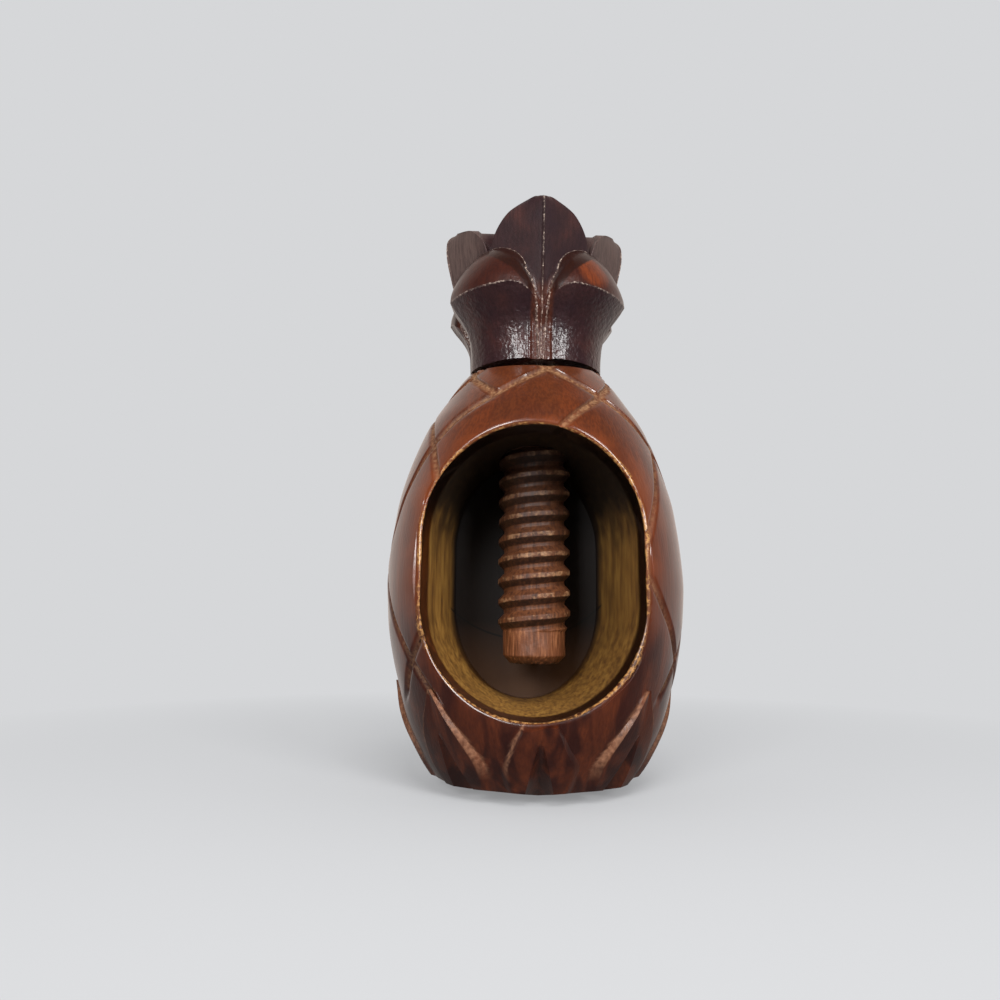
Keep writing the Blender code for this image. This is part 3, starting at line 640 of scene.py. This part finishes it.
def nose(radius, turn, height):
    """Under the thread a plain round end with a worn chamfer, a frayed edge and a slight unevenness."""
    frayed = 0.16 * waver(turn * 30, height * 5, 6.0) * ease(NOSE_TOP, SCREW_LOW + 1, height)
    plain = NOSE_RADIUS - 0.15 + frayed - np.maximum(0, SCREW_LOW + NOSE_CHAMFER - height) * 0.9
    plain = plain + (SCREW_RADIUS - NOSE_RADIUS) * np.clip((height - NOSE_TOP) / NOSE_CHAMFER, 0, 1)
    radius = np.where(height < NOSE_TOP, plain, np.minimum(radius, plain))
    return radius + 0.05 * waver(turn * 40, height * 3, 7.0)


screw = threaded_rod("nutcracker_screw", SCREW_LOW, BODY_HEIGHT, SCREW_RADIUS - CREST_WEAR, 120, 26, nose)
x, y, z = points_of(screw).T
# how far out a point is, from 0 at the thread's root to 1 at its crest, and how far down on the nose
proud = (np.hypot(x, y) - (SCREW_RADIUS - THREAD_DEPTH)) / THREAD_DEPTH
note(screw, "proud", np.clip(proud, -1, 1.1) * ease(NOSE_TOP, NOSE_TOP + 2, z))
note(screw, "nose", 1 - ease(SCREW_LOW - 0.5, SCREW_LOW + 2.6, z))
# how far above a crest's middle, in mm; below it is negative
climb = z + THREAD_START - BODY_HEIGHT - CROWN_GAP - np.arctan2(x, -y) / (2 * math.pi) * THREAD_PITCH
note(screw, "above_crest", (climb + THREAD_PITCH / 2) % THREAD_PITCH - THREAD_PITCH / 2)
screw.data.shade_smooth()
screw.data.set_sharp_from_angle(angle=math.radians(45))

# Bare cut wood: matte rosy brown, with painted shade on the thread's undersides, crests rubbed paler with a
# painted highlight in thin lines along them, and painted shade darkening it towards the neck, under the
# chamber's roof. Its fibres are 0.7 mm apart and 6 mm long, its flecks 0.8 mm wide.
bare_wood, tree, out = material("bare_cut_hardwood")
place = add(tree, "TexCoord").outputs["Object"]
at = add(tree, "SeparateXYZ", place).outputs
along_fibres = add(tree, "Mapping", place, Scale=(1000 / 0.7, 1000 / 0.7, 1000 / 6))
fibres = add(tree, "TexNoise", along_fibres, Scale=1, Detail=3)
fleck = add(tree, "TexNoise", place, Scale=1000 / 0.8, Detail=3)
proud, frayed, above = (
    add(tree, "Attribute", attribute_name=name).outputs["Fac"] for name in ("proud", "nose", "above_crest")
)
colour = add(tree, "ValToRGB", fibres, stops=[(0.30, "#3A2014"), (0.50, "#59331E"), (0.72, "#6D4227")])
on_thread = add(tree, "MapRange", at["Z"], NOSE_TOP * MM, (NOSE_TOP + 1) * MM)
# painted shade: the underside is the band from 0.5 to 2 mm below a crest's middle, painted dark in patches
under = add(tree, "Math", above, -1.25, 0.75, operation="COMPARE")
patchy_shade = add(tree, "MapRange", fleck, 0.35, 0.60, 0.45, 0.85)
under = add(tree, "Math", under, patchy_shade, operation="MULTIPLY")
under = add(tree, "Math", under, on_thread, operation="MULTIPLY")
colour = add(tree, "Mix", under, colour, "#1E110B", data_type="RGBA")
# the crests are rubbed paler, with a painted highlight along them
crest = add(tree, "Math", proud, 0.08, operation="SUBTRACT")
crest = add(tree, "Math", fleck, 0.16, crest, operation="MULTIPLY_ADD")
crest = add(tree, "MapRange", crest, 0.90, 0.97, 0, 0.95)
colour = add(tree, "Mix", crest, colour, "#B18660", data_type="RGBA")
nose_colour = add(tree, "ValToRGB", fibres, stops=[(0.35, "#58321C"), (0.52, "#704228"), (0.68, "#935F3D")])
colour = add(tree, "Mix", on_thread, nose_colour, colour, data_type="RGBA")
crack = add(tree, "MapRange", fleck, 0.64, 0.55)
crack = add(tree, "Math", frayed, crack, operation="MULTIPLY")
colour = add(tree, "Mix", crack, colour, "#100805", data_type="RGBA")
# painted shade: darker towards the neck, where the chamber's roof shades the screw
shade_under_roof = add(tree, "MapRange", at["Z"], 50 * MM, 84 * MM, 0, 0.66)
colour = add(tree, "Mix", shade_under_roof, colour, "#1A100B", data_type="RGBA")
bump = add(tree, "Bump", 0.5, 0.20 * MM, Height=fibres)
bump = add(tree, "Bump", 0.4, 0.25 * MM, Height=fleck, Normal=bump)
surface = add(tree, "BsdfPrincipled", colour, Normal=bump, Roughness=0.50, IOR=1.45)
tree.links.new(surface.outputs[0], out.inputs["Surface"])
screw.data.materials.append(bare_wood)
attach(screw, "crown_and_screw")
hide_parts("screw")

# Tenon: the dowel's round end inside the crown's socket, bare wood as the screw is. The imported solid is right
# as it is, and gets the screw's wood.
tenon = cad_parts["screw_tenon"]
for slot in tenon.material_slots:
    slot.material = bare_wood

# Crown: one block, sawn and carved into four domed corner leaves below and four tall leaves between and
# above them, with a thin midrib down each tall leaf to the foot. Stained darker than the body and varnished,
# it sits on the dowel's end and is the knob that the hand turns.

CROWN_FOOT = BODY_HEIGHT + CROWN_GAP
CROWN_TURN = math.radians(3)
CROWN_HEIGHT = 42.9
CROWN_FOOT_RADIUS = 18.0
CROWN_RADIUS = 24.7
BROW_HEIGHT = 17.7
DOME_TOP = 31.6
DOME_CORNER_RADIUS = 16.8
# A corner leaf's face below the brow and its dome above it: shares of the height, and of the way out or in
FLARE = [(0.0, 0.0), (0.22, 0.03), (0.45, 0.11), (0.60, 0.26), (0.73, 0.48), (0.87, 0.77), (1.0, 1.0)]
DOME = [(0.0, 0.0), (0.20, 0.04), (0.42, 0.16), (0.65, 0.36), (0.86, 0.66), (1.0, 1.0)]
TALL_ROOT = 12.0
# A tall leaf's height and half width, and its outer face's height and radius
TALL_SIDES = [
    (10.0, 11.6), (12.0, 11.6), (26.0, 12.3), (30.0, 12.5), (32.0, 12.4), (34.0, 12.0),
    (37.0, 10.5), (39.4, 8.5), (40.4, 6.5), (41.2, 4.1), (41.8, 2.8), (42.9, 1.0),
]
TALL_FACE = [
    (10.0, 18.4), (12.0, 18.8), (20.0, 20.8), (28.0, 22.8), (33.0, 23.9), (36.5, 24.3),
    (39.0, 24.3), (40.6, 24.1), (41.6, 23.6), (42.3, 22.7), (42.7, 21.5), (42.9, 19.8),
]
# How much lower than the back one each tall leaf ends: the front, right, back and left one
TALL_LOWER = (1.0, 1.3, 0, 1.3)
# How far a tall leaf's face falls back where it is this far from the midrib
FALL_BACK = 8.8
FALL_BACK_ASIDE = 11.8
# A tall leaf's stem between the corner leaves: its height, and half its width there
STEM = [(0.0, 0.6), (6.0, 0.9), (13.5, 1.5), (17.0, 1.9), (21.0, 3.0), (24.9, 5.5), (28.5, 10.5)]
SOCKET_RADIUS = 8.3
SOCKET_DEPTH = 20.6
# The hollow in the crown's top: a round dish this wide and deep
DISH_RADIUS = 17.0
DISH_DEPTH = 2.0
DISH_RIM = 20.5


def stem_half(height):
    """Half the width of a tall leaf's stem, and above it of what shows of the leaf between two domes."""
    return np.interp(height, *np.array(STEM).T)


def fall_back(aside):
    """How far a tall leaf's face falls back beside its midrib, in mm: nearly two flat facets."""
    return FALL_BACK * np.abs(aside / FALL_BACK_ASIDE) ** 1.12


def brow_and_crease(off):
    """Heights of a corner leaf's brow and its dome's top: both sink towards the stems, where `off` is 0."""
    brow = BROW_HEIGHT - 6.0 * np.clip(1 - off / 0.42, 0, 1) ** 2
    return brow, DOME_TOP - 9.0 * np.clip(1 - off / 0.88, 0, 1) ** 2


def corner_radius(off, height):
    """The corner leaves' surface: out along the flare up to the brow, and back in over the dome.

    Beside a tall leaf's stem it is cut back, most of all above the brow, and the cut fades out towards the
    dome's top. Below the brow a fine line runs down beside the cut.
    """
    brow, crease = brow_and_crease(off)
    near = np.clip(1 - off / 0.44, 0, 1)
    foot = CROWN_FOOT_RADIUS - 0.5 * near
    flare = (CROWN_RADIUS - CROWN_FOOT_RADIUS) * (1 - 0.62 * near)
    out = curve(FLARE, height / brow) ** (1 + near)
    over = curve(DOME, (height - brow) / (crease - brow))
    dome = foot + flare + over * (DOME_CORNER_RADIUS - foot - flare)
    radius = np.where(height < brow, foot + out * flare, dome)
    aside = radius * np.sin(off * math.pi / 4)
    edge = np.where(height < brow + 2, 2.3, np.maximum(2.0, stem_half(height)))
    deep = (0.9 + 1.8 * ease(1, 5, height - brow)) * (1 - ease(19, 27.5, height))
    radius = radius - deep * (1 - ease(edge, edge + 0.7 + ease(18, 22, height), aside))
    below_brow = 1 - ease(0, 5, height - brow)
    return radius - below_brow * 0.35 * np.exp(-((aside - 3.0) / 0.35) ** 2)


def off_midrib(angle):
    """From 0 on a midrib to 1 on a corner leaf's middle."""
    return np.abs((angle + math.pi / 4) % (math.pi / 2) - math.pi / 4) / (math.pi / 4)


def upright(name, number, side, reach, height):
    """A closed solid from rows of points, each so far aside of a tall leaf's midrib and so far out."""
    turn = number * math.pi / 2 + CROWN_TURN
    points = np.stack([
        reach * math.sin(turn) + side * math.cos(turn), side * math.sin(turn) - reach * math.cos(turn),
        CROWN_FOOT + height + 0 * side,
    ], -1)
    return solid(name, points, wrapped_faces(*side.shape))


def corner_leaves():
    """The four corner leaves as rows round the axis, evenly spaced below the brow and over the dome."""
    turn = np.linspace(0, 2 * math.pi, 560, endpoint=False)[None, :]
    off = off_midrib(turn)
    brow, crease = brow_and_crease(off)
    below = np.concatenate([np.linspace(0, 0.9, 26), np.linspace(0.93, 0.995, 6)])[:, None] * brow
    above = brow + (crease - brow) * np.concatenate([[0.0, 0.02], np.linspace(0.05, 1, 26)])[:, None]
    height = np.concatenate([below, above])
    radius = corner_radius(off, height)
    radius = radius + 0.05 * waver(turn * 20, height, 8.0)
    rows = round_axis(radius, turn + CROWN_TURN, height + CROWN_FOOT)
    return solid("corner_leaves", rows, wrapped_faces(*rows.shape[:2]))


def tall_leaf(number):
    """One tall leaf: at each height a section with two outer facets and two flat flanks.

    The facets fall back from the midrib, down which a line stands 0.3 mm proud and ends in a small notch. The
    flanks are cut back behind their edge.
    """
    height = np.concatenate([
        np.linspace(TALL_ROOT - 1, 36, 60), np.linspace(36.3, 41, 16), np.linspace(41.15, CROWN_HEIGHT, 18),
    ])
    height = height[:, None] - 0.03 * number
    half = curve(TALL_SIDES, height)
    across = np.concatenate([
        np.linspace(-1, -0.12, 20), np.linspace(-0.1, 0.1, 21), np.linspace(0.12, 1, 20),
    ])[None, :]
    middle = across * half
    face = curve(TALL_FACE, height)
    notch = ease(39.5, 42.5, height) * (1 if number == 0 else 0.2)
    vein = 0.34 * np.exp(-(middle / 0.24) ** 2) * (1 - notch) - 0.7 * np.exp(-(middle / 0.6) ** 2) * notch
    hollow = 0.35 * np.sin(np.clip(np.abs(across), 0, 1) * math.pi) * ease(22, 30, height)
    out = face - fall_back(middle) + vein - hollow + 0.04 * waver(middle * 2, height * 2, number + 1.0)
    cut = np.minimum(1.2, 0.3 * half)
    back = np.full_like(height, -2.0 - 0.1 * number)
    flank_x = np.concatenate([half, half - cut, half - cut, cut - half, cut - half, -half], 1)
    edge = np.minimum(15.9, out[:, -1:] - 0.3)
    flank_y = np.concatenate([edge, edge - 0.8, back, back, edge - 0.8, edge], 1)
    side = np.concatenate([middle, flank_x], 1)
    reach = np.concatenate([out, flank_y], 1)
    return upright("tall_leaf", number, side, reach, height - TALL_LOWER[number] * ease(30, 43, height))


def stem(number):
    """A tall leaf's stem: a strip that narrows to the foot, proud of the hollow between the corner leaves.

    Its face is a little hollow on both sides of the midrib, so its edges and the midrib stand up as lines.
    """
    height = np.linspace(0.03, 23, 70)[:, None]
    half = stem_half(height)
    across = np.linspace(-1, 1, 17)[None, :]
    base = corner_radius(0.05 + 0 * height, height) + 0.45
    share = ease(11, 16, height)
    proud = base * (1 - share) + (curve(TALL_FACE, height) + 0.25) * share - 0.35 * ease(19, 23, height)
    hollow = 0.30 * np.sin(np.abs(across) * math.pi) ** 2 * np.minimum(1, half)
    face = proud - hollow - fall_back(across * half) * share
    side = np.concatenate([across * half, half, -half], 1)
    reach = np.concatenate([face, np.full_like(height, 14.0), np.full_like(height, 14.0)], 1)
    return upright("stem", number, side, reach, height)


def lathe_block(name, outline, columns):
    """A solid turned round the axis from (radius, height) points that run down its outer side."""
    radius, height = np.array(outline, float).T
    turn = np.linspace(0, 2 * math.pi, columns, endpoint=False)[None, :]
    rows = round_axis(radius[:, None] + 0 * turn, turn, height[:, None])
    return solid(name, rows, wrapped_faces(*rows.shape[:2]))


crown = corner_leaves()
carve(crown, "UNION", [tall_leaf(number) for number in range(4)] + [stem(number) for number in range(4)])
dish_ball = (DISH_RADIUS**2 + DISH_DEPTH**2) / (2 * DISH_DEPTH)
dish_radius = np.linspace(DISH_RIM, 0.4, 24)
dish_low = CROWN_FOOT + CROWN_HEIGHT - DISH_DEPTH + dish_ball - np.sqrt(dish_ball**2 - dish_radius**2)
dish = lathe_block("dish", [(DISH_RIM, CROWN_FOOT + CROWN_HEIGHT + 4), *zip(dish_radius, dish_low)], 96)
socket_top = CROWN_FOOT + SOCKET_DEPTH - 0.3
socket = lathe_block("socket", [(SOCKET_RADIUS, socket_top), (SOCKET_RADIUS, CROWN_FOOT - 3)], 64)
carve(crown, "DIFFERENCE", [dish, socket])
crown.name = "nutcracker_crown"
x, y, z = points_of(crown).T
height = z - CROWN_FOOT
off = off_midrib(np.arctan2(x, -y) - CROWN_TURN)
leaf_side = off * math.pi / 4
aside = np.hypot(x, y) * np.sin(leaf_side)
brow, crease = brow_and_crease(off)
# in mm: how far a point is from the nearest midrib, and how far above its corner leaf's brow
note(crown, "aside", aside)
note(crown, "above_brow", np.clip(height - brow, -20, 20))
# in mm: how far the dome stands out past the tall leaf's face, or how far a point is past the stem's edge
dome_radius = corner_radius(off, np.minimum(height, crease))
leaf_face = curve(TALL_FACE, height) - fall_back(dome_radius * np.sin(leaf_side))
past_leaf = np.minimum(dome_radius * np.cos(leaf_side) - leaf_face, 1.5 * (crease - height))
past_stem = aside - stem_half(height)
on_leaf = height > 23
note(crown, "crease", np.clip(np.where(on_leaf, past_leaf, past_stem), -6, 6))
# 1 on a tall leaf and its stem
tall = np.where(on_leaf, 1 - ease(-0.4, 0.1, past_leaf), 1 - ease(-0.2, 0.3, past_stem))
note(crown, "tall", ease(13, 19, height) * tall)
crown.data.shade_smooth()
crown.data.set_sharp_from_angle(angle=math.radians(35))

# Dark stained, varnished hardwood: a dark brown stain with a little purple in it, thinner and redder on the
# domes, under the same varnish, which has nearly worn off the tall leaves. The midribs, brows and lines along
# the domes carry dotted painted glints, the side leaves a painted sheen and one dome a painted patch of light.
crown_wood, tree, out = material("dark_stained_varnished_hardwood")
place = add(tree, "TexCoord").outputs["Object"]
# fibres 0.5 mm apart and 12 mm long, mottling over 7 mm, speckles of 0.55 mm
along_fibres = add(tree, "Mapping", place, Scale=(1000 / 0.5, 1000 / 0.5, 1000 / 12))
fibres = add(tree, "TexNoise", along_fibres, Scale=1, Detail=3)
mottle = add(tree, "TexNoise", place, Scale=1000 / 7, Detail=3)
speckle = add(tree, "TexNoise", place, Scale=1000 / 0.55, Detail=2)
aside, above, crease, tall = (
    add(tree, "Attribute", attribute_name=name).outputs["Fac"]
    for name in ("aside", "above_brow", "crease", "tall")
)
stain = add(tree, "ValToRGB", mottle, stops=[(0.30, "#28151A"), (0.55, "#321B1C"), (0.75, "#41211E")])
dome = add(tree, "MapRange", above, 0, 0.4)
past_crease = add(tree, "MapRange", crease, 0, 0.3)
dome = add(tree, "Math", dome, past_crease, operation="MULTIPLY")
# the domes are redder than the rest, dark on the facet beside the tall leaf, and lighter orange on the one at
# the front right, in a painted patch of light
facet = add(tree, "Math", aside, above, operation="SUBTRACT")
facet = add(tree, "MapRange", facet, 3.9, 4.5)
dome_light_patch = add(tree, "VectorMath", place, (13.5 * MM, -18.5 * MM, 127.5 * MM), operation="DISTANCE")
dome_light_patch = add(tree, "Math", mottle, 4 * MM, dome_light_patch.outputs["Value"], operation="MULTIPLY_ADD")
dome_light_patch = add(tree, "MapRange", dome_light_patch, 7.5 * MM, 5.5 * MM)
dome_colour = add(tree, "Mix", dome_light_patch, "#3B1A12", "#6A3016", data_type="RGBA")
dome_colour = add(tree, "Mix", facet, "#29120B", dome_colour, data_type="RGBA")
stain = add(tree, "Mix", dome, stain, dome_colour, data_type="RGBA")
# the tall leaves at the sides are painted paler and greyer than the one in front: a painted sheen
side_sheen = add(tree, "SeparateXYZ", place).outputs["X"]
side_sheen = add(tree, "Math", side_sheen, operation="ABSOLUTE")
side_sheen = add(tree, "MapRange", side_sheen, 12.5 * MM, 16.5 * MM, 0, 0.75)
side_sheen = add(tree, "Math", tall, side_sheen, operation="MULTIPLY")
stain = add(tree, "Mix", side_sheen, stain, "#5E4C46", data_type="RGBA")
# the stems between the corner leaves are redder, and that fades out 4 to 6.5 mm above the brows
strip = add(tree, "MapRange", aside, 3.1, 2.4)
below_dome = add(tree, "MapRange", above, 6.5, 4.0, 0, 0.85)
strip = add(tree, "Math", strip, below_dome, operation="MULTIPLY")
stain = add(tree, "Mix", strip, stain, "#4A2214", data_type="RGBA")
dark_fibre = add(tree, "MapRange", fibres, 0.60, 0.38, 0, 0.40)
stain = add(tree, "Mix", dark_fibre, stain, "#1E0E0F", data_type="RGBA")
# painted glints in lines 0.3 to 0.5 mm wide, broken into dots: midribs, brows, and the lines along the domes
ragged = add(tree, "Math", speckle, 0.9, -0.45, operation="MULTIPLY_ADD")
vein = add(tree, "Math", aside, ragged, operation="ADD")
vein = add(tree, "MapRange", vein, 0.20, 0.02)
brow_line = add(tree, "Math", above, operation="ABSOLUTE")
brow_line = add(tree, "Math", brow_line, ragged, operation="ADD")
brow_line = add(tree, "MapRange", brow_line, 0.22, 0.04, 0, 0.7)
off_stem = add(tree, "MapRange", aside, 3.6, 4.0)
brow_line = add(tree, "Math", brow_line, off_stem, operation="MULTIPLY")
dome_line = add(tree, "Math", crease, operation="ABSOLUTE")
dome_line = add(tree, "Math", dome_line, ragged, operation="ADD")
dome_line = add(tree, "MapRange", dome_line, 0.34, 0.08)
painted_highlight = add(tree, "Math", brow_line, dome_line, operation="MAXIMUM")
painted_highlight = add(tree, "Math", vein, painted_highlight, operation="MAXIMUM")
dots = add(tree, "TexNoise", place, Scale=1000 / 0.7, Detail=1)
dots = add(tree, "MapRange", dots, 0.46, 0.66, 0.10, 0.90)
painted_highlight = add(tree, "Math", painted_highlight, dots, operation="MULTIPLY")
colour = add(tree, "Mix", painted_highlight, stain, "#B7A294", data_type="RGBA")
# orange peel in cells of 1.2 mm, strong on the corner faces, faint on the domes and the tall leaves
peeled = add(tree, "Math", dome, tall, operation="MAXIMUM")
peeled = add(tree, "MapRange", peeled, 0, 1, 0.85, 0.15)
peel = add(tree, "TexNoise", place, Scale=1000 / 1.2, Detail=3)
peel = add(tree, "Bump", peeled, 0.3 * MM, Height=peel)
pores = add(tree, "Bump", 0.30, 0.10 * MM, Height=speckle, Normal=peel)
# the varnish is thinner on the domes and thinnest on the tall leaves, which are satin
worn_off = add(tree, "Math", dome, 0.5, tall, operation="MULTIPLY_ADD")
surface = add(
    tree, "BsdfPrincipled", colour, Normal=pores, Coat_Normal=peel,
    IOR=1.45, Coat_IOR=1.5, Coat_Roughness=0.13,
    Roughness=add(tree, "MapRange", tall, 0, 1, 0.34, 0.52),
    Coat_Weight=add(tree, "MapRange", worn_off, 0, 1, 0.60, 0.20),
)
tree.links.new(surface.outputs[0], out.inputs["Surface"])
crown.data.materials.clear()
crown.data.materials.append(crown_wood)
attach(crown, "crown_and_screw")
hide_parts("crown")

# The studio: a round pale floor that takes the shadow, in a pale room that is darker in front of the object.
# One large soft lamp hangs high in front, and two lower ones, left and right, shine in the varnish.

# in mm: the floor's radius, and how far it lies below the foot
FLOOR_RADIUS = 1200
FLOOR_DROP = 0.05
floor_turn = np.linspace(0, 2 * math.pi, 96, endpoint=False)
floor_points = np.stack([
    FLOOR_RADIUS * np.cos(floor_turn), FLOOR_RADIUS * np.sin(floor_turn), 0 * floor_turn - FLOOR_DROP,
], -1)
floor_mesh = bpy.data.meshes.new("floor")
floor_mesh.from_pydata((floor_points * MM).tolist(), [], [list(range(96))])
floor = bpy.data.objects.new("floor", floor_mesh)
bpy.context.scene.collection.objects.link(floor)
pale, tree, out = material("pale_matte_floor")
path = add(tree, "LightPath").outputs
seen = add(tree, "Math", path["Is Glossy Ray"], path["Is Transmission Ray"], operation="MAXIMUM")
seen = add(tree, "Math", path["Is Camera Ray"], seen, operation="MAXIMUM")
matte = add(tree, "BsdfDiffuse", "#C6C7C9")
plain = add(tree, "Emission", "#D6D7D9")
spot = add(tree, "TexCoord").outputs["Object"]
# from 60 to 250 mm out from the object's axis the floor turns into the plain background
far = add(tree, "VectorMath", spot, operation="LENGTH").outputs["Value"]
far = add(tree, "MapRange", far, 60 * MM, 250 * MM, 0.35, 1)
far = add(tree, "Math", far, seen, operation="MULTIPLY")
surface = add(tree, "MixShader", far, matte, plain)
# in the varnish the floor shows dark in front and pale behind, as the room does
mirrored = add(tree, "SeparateXYZ", spot).outputs["Y"]
mirrored = add(tree, "MapRange", mirrored, -40 * MM, 125 * MM, 0.05, 0.50)
mirrored = add(tree, "Mix", mirrored, "#000000", "#FFF4EE", data_type="RGBA")
mirrored = add(tree, "Emission", mirrored)
surface = add(tree, "MixShader", path["Is Glossy Ray"], surface, mirrored)
tree.links.new(surface.outputs[0], out.inputs["Surface"])
floor.data.materials.append(pale)

scene = bpy.context.scene
world = bpy.data.worlds.new("studio")
scene.world = world
world.use_nodes = True
tree = world.node_tree
tree.nodes.clear()
out = tree.nodes.new("ShaderNodeOutputWorld")
towards = add(tree, "SeparateXYZ", add(tree, "TexCoord").outputs["Generated"]).outputs
path = add(tree, "LightPath").outputs
# in the varnish the room is dark in front and pale behind
pale_room = [(0.0, "#3A3533"), (0.36, "#AFA29B"), (1.0, "#DCD0C8")]
behind = add(tree, "ValToRGB", towards["Y"], stops=pale_room)
past_object = add(tree, "MapRange", towards["Y"], -0.2, 0)
behind = add(tree, "Mix", past_object, "#2A2726", behind, data_type="RGBA")
# for matt surfaces the room is bright all round and above, and darker in front
fill = add(tree, "MapRange", towards["Y"], -0.8, 0.2, 0.14, 0.60)
mirrored = add(tree, "Math", path["Is Glossy Ray"], path["Is Transmission Ray"], operation="MAXIMUM")
room = add(tree, "Mix", mirrored, fill, behind, data_type="RGBA")
room = add(tree, "Mix", path["Is Camera Ray"], room, "#D6D7D9", data_type="RGBA")
tree.links.new(add(tree, "Background", room).outputs[0], out.inputs["Surface"])


def soft_lamp(name, place, target, size, power):
    """A square area lamp at a place in mm, aimed at a point."""
    lamp = bpy.data.lights.new(name, "AREA")
    lamp.energy = power
    lamp.size = size * MM
    thing = bpy.data.objects.new(name, lamp)
    bpy.context.scene.collection.objects.link(thing)
    way = np.array(target, float) - np.array(place, float)
    thing.location = [value * MM for value in place]
    thing.rotation_euler = (math.atan2(math.hypot(way[0], way[1]), -way[2]), 0, math.atan2(-way[0], way[1]))
    return thing


key = soft_lamp("key", (80, -540, 620), (0, 0, 60), 300, 2.9)
# the key lights the wood, but its reflection would whiten the varnish
key.visible_glossy = False
soft_lamp("left_front", (-235, -560, 265), (0, 0, 90), 230, 2.6)
soft_lamp("right_front", (330, -520, 265), (0, 0, 90), 190, 2.2)

# the camera as worked out from the photograph's outlines: a 27 mm lens on a 36 mm frame, 197 mm in front of
# the axis, 40 mm up, tilted up by 9.1 degrees and rolled by half a degree
camera = bpy.data.cameras.new("camera")
camera.lens = 27
camera.sensor_width = 36
camera.clip_start = 0.01
view = bpy.data.objects.new("camera", camera)
scene.collection.objects.link(view)
view.location = (-9.1 * MM, -196.9 * MM, 40.3 * MM)
view.rotation_mode = "QUATERNION"
tilt = Matrix.Rotation(math.radians(90 + 9.1), 3, "X")
roll = Matrix.Rotation(math.radians(0.5), 3, "Z")
view.rotation_quaternion = (tilt @ roll).to_quaternion()
scene.camera = view
scene.view_settings.view_transform = "Standard"
